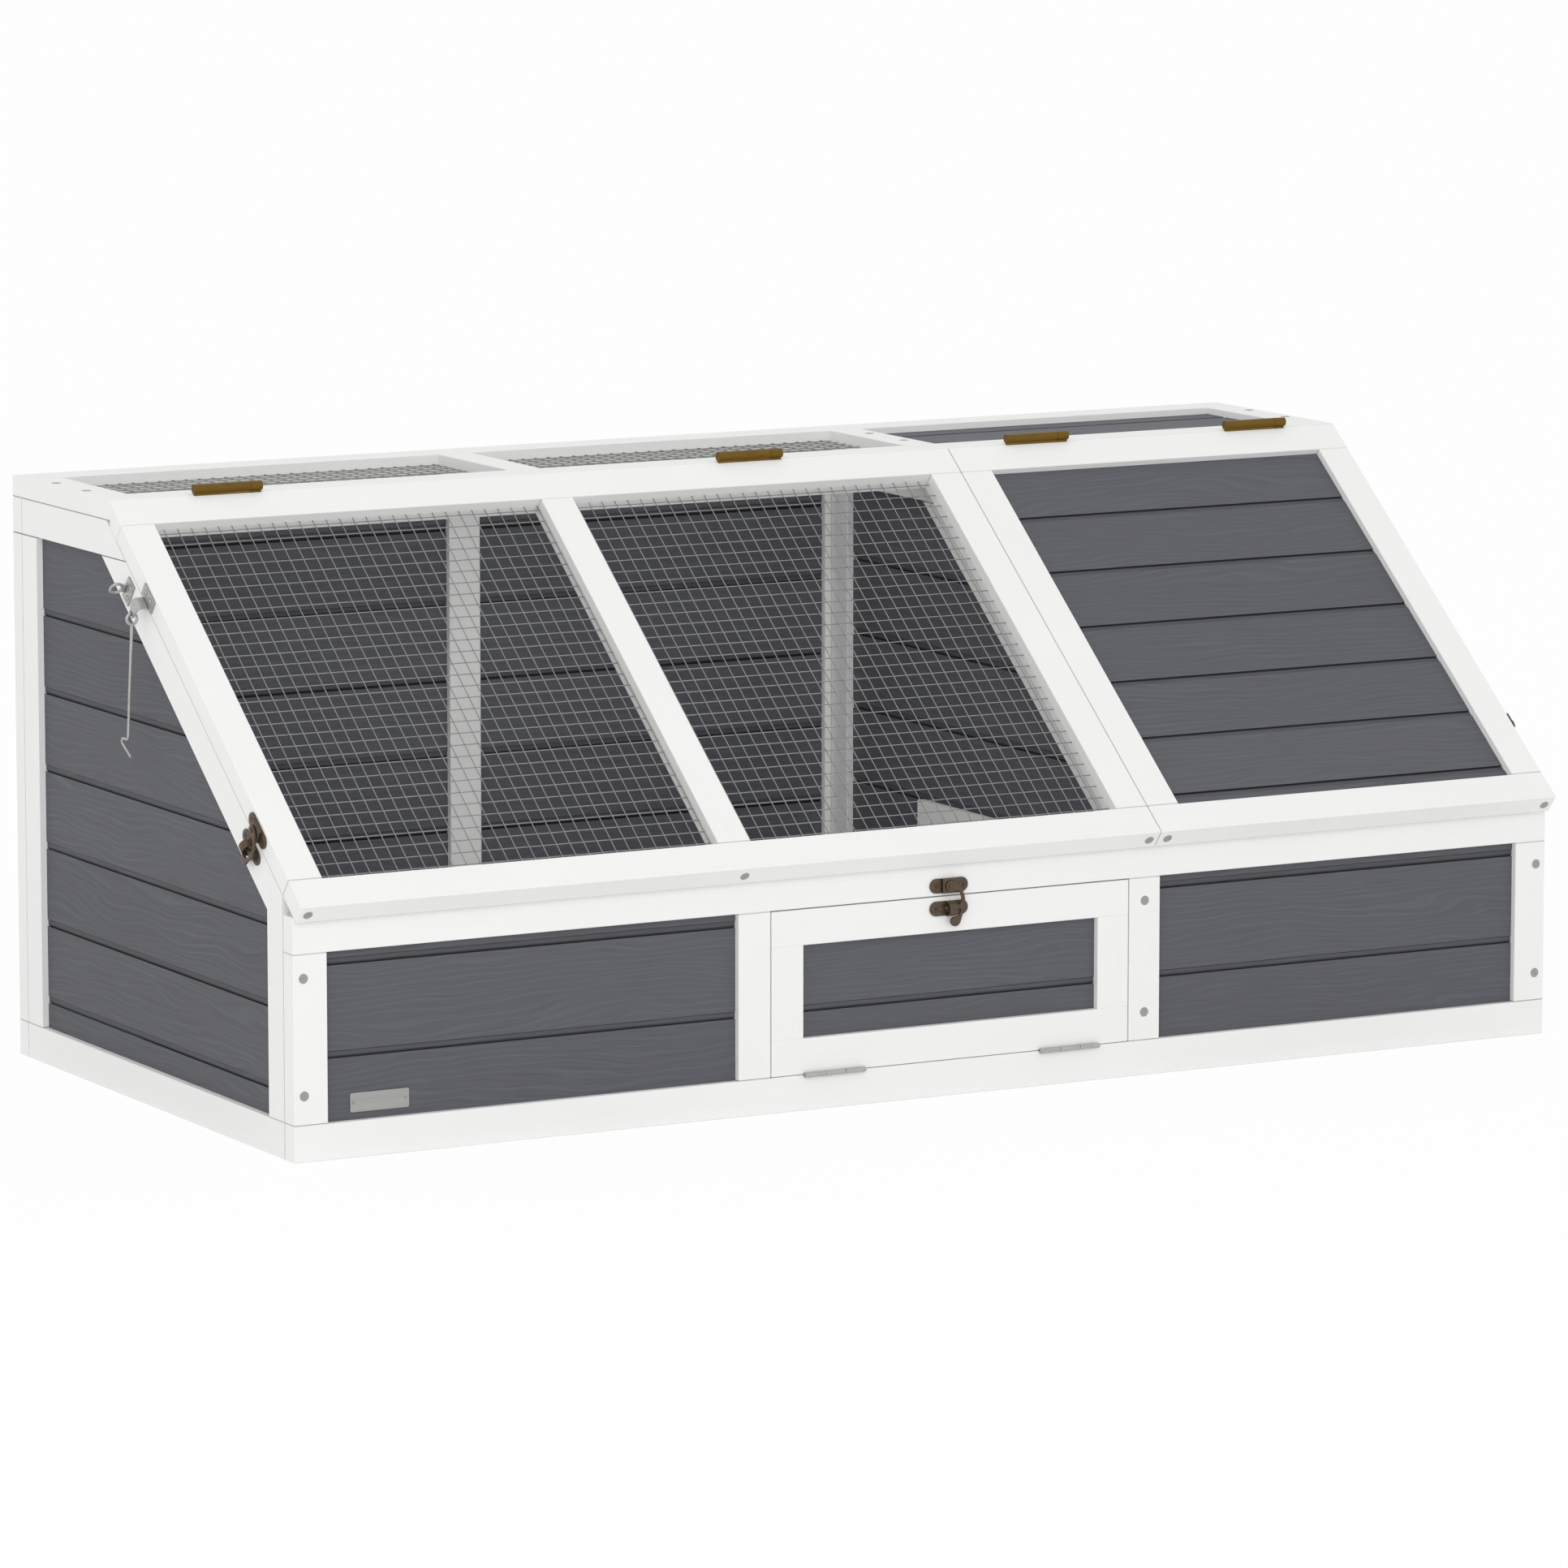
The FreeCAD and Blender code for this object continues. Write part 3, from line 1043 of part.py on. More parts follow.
doc.recompute()
for item in doc.Objects:
    if {"Invalid", "Error"} & set(item.State):
        raise RuntimeError(f"{item.Label} didn't build: {item.State}")
os.makedirs("parts", exist_ok=True)
for item in nodes:
    if item.Shape.isNull() or not item.Shape.isValid():
        raise RuntimeError(f"{item.Label} has no valid shape")
    item.Shape.exportStep(f"parts/{item.Label}.step")
print(len(nodes), "pieces and groups written")
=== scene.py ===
# %% [markdown]
# Tortoise enclosure. The CAD model gives every timber, board, hinge and latch its true size and place, in
# metres. This script loads it as a fixed frame, gives each piece the finish that the real one has, and makes
# the few pieces that CAD only blocks in, such as the wire meshes, in full.

# %% Load the frame
import json
import math

import bmesh
import bpy
import numpy as np
from mathutils import Matrix, Vector


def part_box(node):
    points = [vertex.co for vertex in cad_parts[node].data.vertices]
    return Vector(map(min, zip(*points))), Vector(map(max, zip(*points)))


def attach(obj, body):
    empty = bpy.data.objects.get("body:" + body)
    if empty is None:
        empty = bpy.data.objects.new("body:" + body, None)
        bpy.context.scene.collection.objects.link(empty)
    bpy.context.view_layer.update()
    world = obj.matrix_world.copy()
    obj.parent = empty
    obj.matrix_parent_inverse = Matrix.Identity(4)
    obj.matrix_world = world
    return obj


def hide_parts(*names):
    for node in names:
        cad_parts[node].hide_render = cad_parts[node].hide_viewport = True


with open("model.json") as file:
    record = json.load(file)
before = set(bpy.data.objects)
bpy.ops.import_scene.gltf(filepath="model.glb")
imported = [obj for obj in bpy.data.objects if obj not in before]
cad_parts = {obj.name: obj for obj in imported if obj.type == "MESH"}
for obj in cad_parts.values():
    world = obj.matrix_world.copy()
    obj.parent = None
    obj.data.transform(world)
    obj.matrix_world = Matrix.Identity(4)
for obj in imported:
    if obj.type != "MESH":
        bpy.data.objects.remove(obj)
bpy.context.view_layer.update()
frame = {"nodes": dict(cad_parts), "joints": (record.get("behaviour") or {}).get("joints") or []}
MM = 0.001

# %% [markdown]
# Every finish below is a small tree of shader nodes. One helper adds a node, sets what is constant on it and
# links the rest, so that a tree reads from the top down, and short helpers stand for the nodes used most.
# Colours are written as the sRGB codes that a paint chart would give, and one function turns them into the
# linear values that shaders work with.

# %% Helpers for node trees


def linear(code):
    """An sRGB hex code as linear RGBA."""
    channels = [int(code[n : n + 2], 16) / 255 for n in (1, 3, 5)]
    return tuple(c / 12.92 if c <= 0.04045 else ((c + 0.055) / 1.055) ** 2.4 for c in channels) + (1.0,)


def add(tree, kind, links=None, **settings):
    """Adds a node, sets its settings, and gives each input a value or a link."""
    node = tree.nodes.new(kind)
    for name, value in settings.items():
        setattr(node, name, value)
    for socket, source in (links or {}).items():
        if isinstance(source, bpy.types.NodeSocket):
            tree.links.new(source, node.inputs[socket])
        else:
            node.inputs[socket].default_value = source
    return node


def finish_tree(name, **constants):
    """A new material with a Principled shader, whose constant inputs are given by name."""
    material = bpy.data.materials.new(name)
    material.use_nodes = True
    tree = material.node_tree
    tree.nodes.clear()
    inputs = {key.replace("_", " "): value for key, value in constants.items()}
    shader = add(tree, "ShaderNodeBsdfPrincipled", inputs)
    add(tree, "ShaderNodeOutputMaterial", {"Surface": shader.outputs["BSDF"]})
    return material, tree, shader


def maths(tree, operation, *values):
    return add(tree, "ShaderNodeMath", dict(enumerate(values)), operation=operation).outputs[0]


def vector_maths(tree, operation, *values):
    return add(tree, "ShaderNodeVectorMath", dict(enumerate(values)), operation=operation).outputs[0]


def vector(tree, **axes):
    """A vector from the axes that are given. The others are 0."""
    return add(tree, "ShaderNodeCombineXYZ", axes).outputs[0]


def noise(tree, place, grain, **more):
    """Noise from 0 to 1, with patches about as large as grain."""
    return add(tree, "ShaderNodeTexNoise", {"Vector": place, "Scale": 1 / grain, **more}).outputs["Fac"]


def ranged(tree, value, low, high, start=0.0, end=1.0):
    """Carries a value from the range start to end over to the range low to high."""
    inputs = {"Value": value, "From Min": start, "From Max": end, "To Min": low, "To Max": high}
    return add(tree, "ShaderNodeMapRange", inputs).outputs["Result"]


def mixed(tree, share, low, high):
    """A colour between low, at a share of 0, and high, at a share of 1."""
    return add(tree, "ShaderNodeMix", {"Factor": share, 6: low, 7: high}, data_type="RGBA").outputs[2]


def bump(tree, height, strength, distance):
    inputs = {"Height": height, "Strength": strength, "Distance": distance}
    return add(tree, "ShaderNodeBump", inputs).outputs["Normal"]


def wire_up(tree, shader, colour, roughness, normal):
    """Gives a shader its three patterns."""
    for socket, source in (("Base Color", colour), ("Roughness", roughness), ("Normal", normal)):
        tree.links.new(source, shader.inputs[socket])


# %% [markdown]
# Wood looks right only if its grain runs along each piece. The pieces lie in four directions here. Three
# are plain. The fourth, the lids' slope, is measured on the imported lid: the way its wire nets spread most.

# %% Directions of the timbers


def points_of(node):
    """The places of a CAD node's vertices, as rows of x, y and z."""
    mesh = frame["nodes"][node].data
    flat = np.empty(3 * len(mesh.vertices))
    mesh.vertices.foreach_get("co", flat)
    return flat.reshape(-1, 3)


def long_way(points):
    """Direction in the y-z plane along which some points spread the most, pointing to the back."""
    spread = points[:, 1:] - points[:, 1:].mean(axis=0)
    y, z = np.linalg.svd(spread, full_matrices=False)[2][0]
    return Vector((0, y, z)) * math.copysign(1, y)


ACROSS = Vector((1, 0, 0))
BACK = Vector((0, 1, 0))
UP = Vector((0, 0, 1))
SLOPE = long_way(points_of("left_lid_meshes"))
print("lids slope at", round(math.degrees(math.atan2(SLOPE.z, SLOPE.y)), 2), "degrees")

# %% [markdown]
# The frame is planed fir under sprayed white paint. Close up, the paint is not flat: the harder latewood
# lines stand a few hundredths of a millimetre proud and catch the light, and the film is a little thinner
# and greyer there. A noise stretched along the timber gives those lines, and bump does the rest. The pieces
# were painted apart, so where two of them meet there is a hairline gap, and the shade in it is painted into
# the colour as a grey hairline. It lies in a thin slice of space next to the joint's plane, which a dot
# product with the plane's direction finds.

# %% White painted timber


def grain_place(tree, along, across):
    """Object coordinates, turned so that x runs along the grain and y across the face."""
    turn = Matrix((along, across, along.cross(across))).to_euler()
    place = add(tree, "ShaderNodeTexCoord")
    return add(tree, "ShaderNodeMapping", {"Vector": place.outputs["Object"], "Rotation": turn}).outputs[0]


def stretched(tree, place, share):
    """Shortens the way along the grain, so that a pattern laid on it comes out long."""
    return vector_maths(tree, "MULTIPLY", place, (share, 1, 1))


HAIRLINE = 0.8 * MM


def white_timber(name, along, across, joints=()):
    """A joint is a direction, the place along it where a hairline has its middle, and the tone of the shade
    painted in that hairline.
    """
    material, tree, shader = finish_tree(name, IOR=1.47)
    place = grain_place(tree, along, across)
    # Latewood lines about 2.5 mm apart, and thirty times as long.
    grain = noise(tree, stretched(tree, place, 0.03), 2.5 * MM, Detail=3.0, Roughness=0.55)
    # Faint clouds of a hand's width, where the spray lay thicker.
    clouds = noise(tree, place, 90 * MM, Detail=2.0)
    paint = mixed(tree, maths(tree, "MULTIPLY", grain, clouds), linear("#F3F3F2"), linear("#EDEDEB"))
    here = add(tree, "ShaderNodeTexCoord").outputs["Object"]
    # Each joint's hairline is painted shade, mixed into the paint colour.
    for way, level, tone in joints:
        far = add(tree, "ShaderNodeVectorMath", {0: here, 1: way}, operation="DOT_PRODUCT").outputs["Value"]
        near = maths(tree, "COMPARE", far, level, HAIRLINE / 2)
        paint = mixed(tree, near, paint, linear(tone))
    wire_up(tree, shader, paint, ranged(tree, grain, 0.42, 0.58), bump(tree, grain, 0.07, 0.4 * MM))
    return material


def dress(material, *names):
    for name in names:
        for slot in frame["nodes"][name].material_slots:
            slot.material = material


def limits(node, way):
    """The lowest and highest places of a CAD node along a direction."""
    along = points_of(node) @ np.array(way)
    return float(along.min()), float(along.max())


# Hairlines of painted shade lie a little inside the end of the piece that carries them. Some joints are
# tighter than others, so less shade is painted in them.
INSIDE = 0.5 * MM
RISE = ACROSS.cross(SLOPE)
OPEN = "#7A7A78"
CLOSE = "#A2A2A0"
TIGHT = "#C6C6C4"
WALLS = ("left_side", "right_side", "divider")
foot = (UP, limits("front_posts", UP)[0] + INSIDE, CLOSE)
head = (UP, limits("front_posts", UP)[1] - INSIDE, TIGHT)
wall_front = (BACK, limits("left_side_rails", BACK)[0] + INSIDE, TIGHT)
wall_back = (BACK, limits("left_side_rails", BACK)[1] - INSIDE, OPEN)
wall_head = (UP, limits("slope_rails", UP)[1] - INSIDE, OPEN)
under_top = (UP, limits("top_end_rails", UP)[0] + INSIDE, OPEN)
stile_ends = limits("left_lid_stiles", SLOPE)
lid_corners = [(SLOPE, stile_ends[0] + INSIDE, TIGHT), (SLOPE, stile_ends[1] - INSIDE, TIGHT)]
under_lid = (RISE, limits("left_lid_stiles", RISE)[0] + INSIDE, CLOSE)
for label, joint in (("foot", foot), ("head", head), ("wall head", wall_head), ("top", under_top)):
    print("hairline at the", label, round(joint[1] / MM, 1), "mm up")
dress(
    white_timber("white_paint_long", ACROSS, UP),
    *("front_base_rail", "front_top_rail", "back_base_rail", "back_top_rail"),
    *("left_lid_rails", "right_lid_rails", "door_rails"),
)
dress(white_timber("white_paint_top", ACROSS, BACK, [under_top]), "top_long_rails")
dress(white_timber("white_paint_post", UP, ACROSS, [foot, head]), "front_posts", "front_jambs")
dress(
    white_timber("white_paint_upright", UP, ACROSS, [foot, wall_front, wall_back, wall_head]),
    *("back_stiles", "door_stiles", "doorway_frame"),
    *(f"{wall}_stiles" for wall in WALLS),
)
dress(
    white_timber("white_paint_deep", BACK, UP, [wall_front, wall_back, under_top]),
    *("top_end_rails", "top_cross_rails"),
    *(f"{wall}_rails" for wall in WALLS),
)
dress(white_timber("white_paint_sloping", SLOPE, ACROSS, [wall_head]), "slope_rails")
dress(
    white_timber("white_paint_lid", SLOPE, ACROSS, [*lid_corners, under_lid]),
    *("left_lid_stiles", "right_lid_stiles"),
)

# %% [markdown]
# The boards are tongued and grooved fir under a slate-grey water stain. The growth rings stay just visible,
# as wavering lines a little bluer and paler than the rest. A wave texture draws the rings, and a slow noise
# bends it, so that they swell and close into arches as they do where the saw passed near the tree's heart.
# Each board is a different piece of the tree, so its number shifts the pattern and its tone. The shade in the
# sunk band along each board's edge, under the step at its top and in the open line under it is painted in as
# darker colour.

# %% Grey stained boards


def grey_boards(name, along, across, pitch, line, line_shade=0.4):
    """pitch is the spacing of the boards, line the place across them where an open line begins, and the last
    argument how much darker than the boards the painted shade makes that line."""
    material, tree, shader = finish_tree(name, IOR=1.45, Specular_IOR_Level=0.2)
    place = grain_place(tree, along, across)
    high = add(tree, "ShaderNodeSeparateXYZ", {"Vector": place}).outputs["Y"]
    boards = maths(tree, "DIVIDE", maths(tree, "SUBTRACT", high, line), pitch)
    number = maths(tree, "FLOOR", boards)
    luck = add(tree, "ShaderNodeTexWhiteNoise", {"W": number}, noise_dimensions="1D").outputs["Value"]
    # Another stretch of the tree for each board, up to 9 m along it and 4 m through it.
    jump = vector(tree, X=maths(tree, "MULTIPLY", luck, 9), Z=maths(tree, "MULTIPLY", luck, 4))
    own = vector_maths(tree, "ADD", place, jump)
    # The rings swerve by up to 25 mm either way over a stretch of about 200 mm.
    swerve = maths(tree, "MULTIPLY", noise(tree, stretched(tree, own, 0.3), 60 * MM, Detail=2.0), 50 * MM)
    bent = vector_maths(tree, "ADD", own, vector(tree, Y=swerve))
    rings = add(
        tree,
        "ShaderNodeTexWave",
        {
            "Vector": stretched(tree, bent, 0.06),
            # Growth rings 6 mm apart: the texture repeats every 0.314 of its own units.
            "Scale": 0.314 / (6 * MM),
            "Distortion": 7.0,
            "Detail": 4.0,
            "Detail Scale": 1.2,
            "Detail Roughness": 0.6,
        },
        bands_direction="Y",
    ).outputs["Fac"]
    # Fibres about 1.2 mm wide; real ones are finer and wouldn't show at this distance.
    fibres = noise(tree, stretched(tree, bent, 0.025), 1.2 * MM, Detail=3.0)
    # The lines fade in and out over a hand's width, and only the crest of each ring shows.
    strong = noise(tree, stretched(tree, own, 0.3), 45 * MM, Detail=1.0)
    crests = maths(tree, "MULTIPLY", ranged(tree, rings, 0.0, 0.8, start=0.7), strong)
    body = mixed(tree, fibres, linear("#535357"), linear("#65666C"))
    stain = mixed(tree, crests, body, linear("#626872"))
    # Up from the open line, 1.2 mm wide and darkened with painted shade to 2.2 mm, the sunk band is 5 mm high
    # and painted darker for the shade under its step, with a painted shadow of 0.8 mm, the lip, at its top.
    within = maths(tree, "MULTIPLY", maths(tree, "FRACT", boards), pitch)
    open_line = maths(tree, "LESS_THAN", within, 2.2 * MM)
    band = maths(tree, "LESS_THAN", within, 6.2 * MM)
    lip = maths(tree, "COMPARE", within, 5.8 * MM, 0.4 * MM)
    bright = ranged(tree, luck, 0.97, 1.04)
    for part, depth in ((band, -0.2), (lip, -0.28), (open_line, -line_shade)):
        bright = maths(tree, "MULTIPLY_ADD", part, depth, bright)
    shade = add(tree, "ShaderNodeHueSaturation", {"Color": stain, "Value": bright}).outputs["Color"]
    relief = bump(tree, maths(tree, "ADD", fibres, rings), 0.15, 0.3 * MM)
    wire_up(tree, shader, shade, ranged(tree, crests, 0.62, 0.52), relief)
    return material


WALL_PITCH = 66.7 * MM
FRONT_PITCH = 76 * MM
# Where one open line begins, measured from the origin across the boards.
FRONT_LINE = 81.6 * MM
BACK_LINE = 95.5 * MM
SIDE_LINE = 51.2 * MM
LID_LINE = -22.92 * MM
TOP_LINE = 147.54 * MM
dress(grey_boards("grey_stain_front", ACROSS, UP, FRONT_PITCH, FRONT_LINE), "front_boards", "door_boards")
dress(grey_boards("grey_stain_back", ACROSS, UP, WALL_PITCH, BACK_LINE, line_shade=0.6), "back_boards")
for wall in WALLS:
    dress(grey_boards(f"grey_stain_{wall}", BACK, UP, WALL_PITCH, SIDE_LINE), f"{wall}_boards")
# The lid's boards were laid the other way up, with the bands below their lines.
dress(grey_boards("grey_stain_lid", ACROSS, -SLOPE, WALL_PITCH, LID_LINE), "right_lid_boards")
dress(grey_boards("grey_stain_top", ACROSS, BACK, WALL_PITCH, TOP_LINE), "top_boards")
print("boards", round(FRONT_PITCH / MM, 1), "mm wide in front,", round(WALL_PITCH / MM, 1), "mm elsewhere")

# %% [markdown]
# The fittings are stamped and turned metal: antique-brass hinges, bronze-coloured latches, zinc-plated stays,
# plain steel screws and a brushed plate. Each is one function of a colour, a roughness and the size of its
# mottling, because what tells them apart is mostly colour and how sharp the reflections are. On latches,
# stays and screws a corner is painted darker within 3 mm of whatever stands over it: painted shade, which on
# the bronze latches is partly dark patina as well.

# %% Metals


def metal(name, dark, light, roughness, mottle, stretch=1.0, relief=0.05, bare=1.0, corners=None):
    """mottle is the size of the patches, and a stretch below 1 draws them out along x. bare is the share of
    the metal without a coat, and corners the colour of the shade painted into its corners."""
    material, tree, shader = finish_tree(name, Metallic=bare)
    place = add(tree, "ShaderNodeTexCoord").outputs["Object"]
    patches = noise(tree, stretched(tree, place, stretch), mottle, Detail=3.0, Roughness=0.6)
    colour = mixed(tree, patches, linear(dark), linear(light))
    # Corners are painted darker, as the shade that falls in them.
    if corners:
        open_sky = add(tree, "ShaderNodeAmbientOcclusion", {"Distance": 3 * MM}, samples=8).outputs["AO"]
        clear_of_corners = ranged(tree, open_sky, 0.0, 1.0, start=0.3, end=0.8)
        colour = mixed(tree, clear_of_corners, linear(corners), colour)
    gloss = ranged(tree, patches, roughness - 0.08, roughness + 0.08)
    wire_up(tree, shader, colour, gloss, bump(tree, patches, relief, 0.2 * MM))
    return material


antique_brass = metal("antique_brass", "#604A1E", "#846831", 0.45, 1.5 * MM, stretch=0.1)
# Lacquer and the white bloom on zinc scatter light as paint does.
# The corners colour of each is painted shade, and on the bronze lacquer also the dark patina of its hollows.
bronze_lacquer = metal("bronze_lacquer", "#45382A", "#615040", 0.42, 2 * MM, bare=0.35, corners="#130E09")
zinc_plate = metal("zinc_plate", "#9C9C9A", "#BDBDBB", 0.36, 4 * MM, bare=0.5, corners="#3C3C3A")
screw_steel = metal("screw_steel", "#929290", "#A8A8A6", 0.45, 2 * MM, bare=0.3, corners="#5C5C5A")
galvanised_wire = metal("galvanised_wire", "#8E8E8C", "#ABABA9", 0.42, 3 * MM)
brushed_plate = metal("brushed_plate", "#9C9C9A", "#B3B3B1", 0.38, 0.6 * MM, stretch=0.02, relief=0.15)
dress(antique_brass, "lid_hinge_fixed_leaves", "lid_hinge_pins")
dress(antique_brass, "left_lid_hinge_leaves", "right_lid_hinge_leaves")
dress(zinc_plate, "door_hinge_fixed_leaves", "door_hinge_pins", "door_hinge_leaves", "stay_eyes")
dress(zinc_plate, "left_stay_bracket", "right_stay_bracket", "left_stay_rod", "right_stay_rod")
dress(bronze_lacquer, "door_latch_base", "door_latch_hook", "door_latch_catch", "lid_latch_catches")
dress(bronze_lacquer, "left_latch_base", "left_latch_hook", "right_latch_base", "right_latch_hook")
dress(screw_steel, "case_screws", "left_lid_screws", "right_lid_screws", "door_screws")
dress(brushed_plate, "blank_plate")
dress(galvanised_wire, "left_lid_meshes", "top_meshes")
print("materials", len(bpy.data.materials))

# %% [markdown]
# The run's windows are welded wire mesh: straight galvanised wires, about half an inch apart, one layer
# across the other, welded where they cross. Two rows of points with a wire on each, made by Geometry Nodes,
# are exactly that. The CAD nets have the right outline and place but about twice the spacing, so the new mesh
# takes its width, length, corner and tilt from them and then stands in for them.

# %% Geometry Nodes for one net
# Welded rolls are never quite even: each wire is up to this far out of place.
STRAY = 0.1 * MM


def geometry_tree(name, ports):
    """A new geometry tree and its inputs. A port is an input's name and kind."""
    tree = bpy.data.node_groups.new(name, "GeometryNodeTree")
    for label, kind in ports:
        tree.interface.new_socket(label, in_out="INPUT", socket_type=f"NodeSocket{kind}")
    tree.interface.new_socket("Geometry", in_out="OUTPUT", socket_type="NodeSocketGeometry")
    return tree, add(tree, "NodeGroupInput").outputs


def end_tree(tree, shape, finish):
    """Turns the instances in a geometry tree into one mesh with a finish, and hands that out."""
    real = add(tree, "GeometryNodeRealizeInstances", {"Geometry": shape}).outputs[0]
    done = add(tree, "GeometryNodeSetMaterial", {"Geometry": real, "Material": finish}).outputs[0]
    add(tree, "NodeGroupOutput", {"Geometry": done})


def net_tree():
    ports = (
        ("Width", "Float"),
        ("Length", "Float"),
        ("Width Spacing", "Float"),
        ("Length Spacing", "Float"),
        ("Width First", "Float"),
        ("Length First", "Float"),
        ("Wire Radius", "Float"),
        ("Corner", "Vector"),
        ("Tilt", "Float"),
        ("Seed", "Int"),
        ("Finish", "Material"),
    )
    tree, given = geometry_tree("welded_wire_net", ports)
    radius = given["Wire Radius"]
    section = add(tree, "GeometryNodeCurvePrimitiveCircle", {"Resolution": 8, "Radius": radius}).outputs[0]
    both = add(tree, "GeometryNodeJoinGeometry")
    for side, span, length, level in ((0, "Width", "Length", 1), (1, "Length", "Width", -1)):
        step = given[f"{span} Spacing"]
        first = given[f"{span} First"]
        room = maths(tree, "SUBTRACT", given[span], first)
        count = maths(tree, "ADD", maths(tree, "DIVIDE", room, step), 1.0)
        # The layers press into each other by a tenth of the wire, as a weld does.
        lift = maths(tree, "MULTIPLY", radius, 0.9 * level)
        way = "XY"[side]
        start = vector(tree, **{way: first}, Z=lift)
        line = {"Count": count, "Start Location": start, "Offset": vector(tree, **{way: step})}
        row = add(tree, "GeometryNodeMeshLine", line).outputs[0]
        stray = add(
            tree,
            "FunctionNodeRandomValue",
            {0: (-STRAY, -STRAY, 0), 1: (STRAY, STRAY, 0), "Seed": given["Seed"]},
            data_type="FLOAT_VECTOR",
        ).outputs[0]
        aside = vector_maths(tree, "MULTIPLY", stray, (1 - side, side, 0))
        row = add(tree, "GeometryNodeSetPosition", {"Geometry": row, "Offset": aside}).outputs[0]
        end = vector(tree, **{"YX"[side]: given[length]})
        wire = add(tree, "GeometryNodeCurvePrimitiveLine", {"End": end}).outputs[0]
        inputs = {"Curve": wire, "Profile Curve": section, "Fill Caps": True}
        tube = add(tree, "GeometryNodeCurveToMesh", inputs).outputs[0]
        layer = add(tree, "GeometryNodeInstanceOnPoints", {"Points": row, "Instance": tube}).outputs[0]
        tree.links.new(layer, both.inputs[0])
    place = {"Translation": given["Corner"], "Rotation": vector(tree, X=given["Tilt"])}
    placed = add(tree, "GeometryNodeTransform", {"Geometry": both.outputs[0], **place}).outputs[0]
    end_tree(tree, placed, given["Finish"])
    return tree


def grown(tree, points=None, **values):
    """Runs a geometry tree on an object with these points, or none. The result is a plain mesh."""
    host = bpy.data.objects.new("host", points or bpy.data.meshes.new("host"))
    bpy.context.scene.collection.objects.link(host)
    modifier = host.modifiers.new("tree", "NODES")
    modifier.node_group = tree
    for item in tree.interface.items_tree:
        key = item.name.lower().replace(" ", "_")
        if item.in_out == "INPUT" and key in values:
            modifier[item.identifier] = values[key]
    graph = bpy.context.evaluated_depsgraph_get()
    mesh = bpy.data.meshes.new_from_object(host.evaluated_get(graph))
    bpy.data.objects.remove(host)
    return mesh


net = net_tree()
print("net tree with", len(net.nodes), "nodes")

# %% [markdown]
# Each CAD net node holds two nets, with a timber between them. The gap there is wider than a cell, so the
# nets are told apart by the first long step in the sorted x places of their corners.

# %% Wire meshes of the left lid and the flat top
WIRE_RADIUS = 0.43 * MM
CELL_WIDE = 12.41 * MM
CELL_LONG = 13.03 * MM
# CAD cells are 25.4 mm wide, so a longer step than this leads to the next net.
NEXT_NET = 28 * MM
lid_nose = limits("left_lid_rails", SLOPE)[0]
# Where one wire of each layer lies: its x, and its distance along the net's slope.
ONE_WIRE = {
    "left_lid_meshes": (-559.0 * MM, lid_nose + 52.3 * MM),
    "top_meshes": (-82.0 * MM, 168.0 * MM),
}


def nets_in(node):
    """For each net: its size, the first wire of each layer, its corner and its tilt."""
    points = points_of(node)
    edges = np.unique(points[:, 0].round(5))
    breaks = np.flatnonzero(np.diff(edges) > NEXT_NET)
    starts = [edges[0], *edges[breaks + 1]]
    ends = [*edges[breaks], edges[-1]]
    found = []
    for left, right in zip(starts, ends):
        own = points[(points[:, 0] > left - MM) & (points[:, 0] < right + MM)]
        way = long_way(own)
        along = own @ np.array(way)
        middle = Vector(own.mean(axis=0))
        low = middle + way * (along.min() - middle.dot(way))
        found.append(
            {
                "width": float(right - left),
                "length": float(np.ptp(along)),
                "width_first": (ONE_WIRE[node][0] - float(left)) % CELL_WIDE,
                "length_first": (ONE_WIRE[node][1] - float(along.min())) % CELL_LONG,
                "corner": (float(left), low.y, low.z),
                "tilt": math.atan2(way.z, way.y),
            }
        )
    return found


def joined(name, meshes):
    """One object at the origin that holds several meshes."""
    shape = bmesh.new()
    for mesh in meshes:
        shape.from_mesh(mesh)
    merged = bpy.data.meshes.new(name)
    shape.to_mesh(merged)
    shape.free()
    for mesh in meshes:
        for material in mesh.materials:
            if material and material.name not in merged.materials:
                merged.materials.append(material)
        bpy.data.meshes.remove(mesh)
    piece = bpy.data.objects.new(name, merged)
    bpy.context.scene.collection.objects.link(piece)
    return piece


def smooth(piece, degrees=40):
    """Rounds the shading of curved faces and keeps sharp edges sharp."""
    piece.data.shade_smooth()
    piece.data.set_sharp_from_angle(angle=math.radians(degrees))
    return piece


for node, body, name in (
    ("left_lid_meshes", "left_lid", "lid_wire_mesh"),
    ("top_meshes", "case", "top_wire_mesh"),
):
    nets = []
    for seed, place in enumerate(nets_in(node)):
        place.update(width_spacing=CELL_WIDE, length_spacing=CELL_LONG, wire_radius=WIRE_RADIUS, seed=seed)
        nets.append(grown(net, finish=galvanised_wire, **place))
    piece = smooth(joined(name, nets))
    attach(piece, body)
    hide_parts(node)
    print(name, len(piece.data.polygons), "faces")

# %% [markdown]
# A latch is stamped from sheet metal: a plate with round ends, a hook that turns on a domed rivet, and a
# catch plate with a half-round strap for the hook's finger. Stamping leaves soft edges. A flat curve that is
# filled, extruded and bevelled has just those, so each sheet is drawn as its outline, and the rivet and the
# two lugs are turned from rings. Outlines are in millimetres with the rivet at the origin: x along the
# plates, y up, z out of the wood. The hook's outline is one flowing line, so its points are joined by a
# smooth spline.

# %% Stamped and turned metal


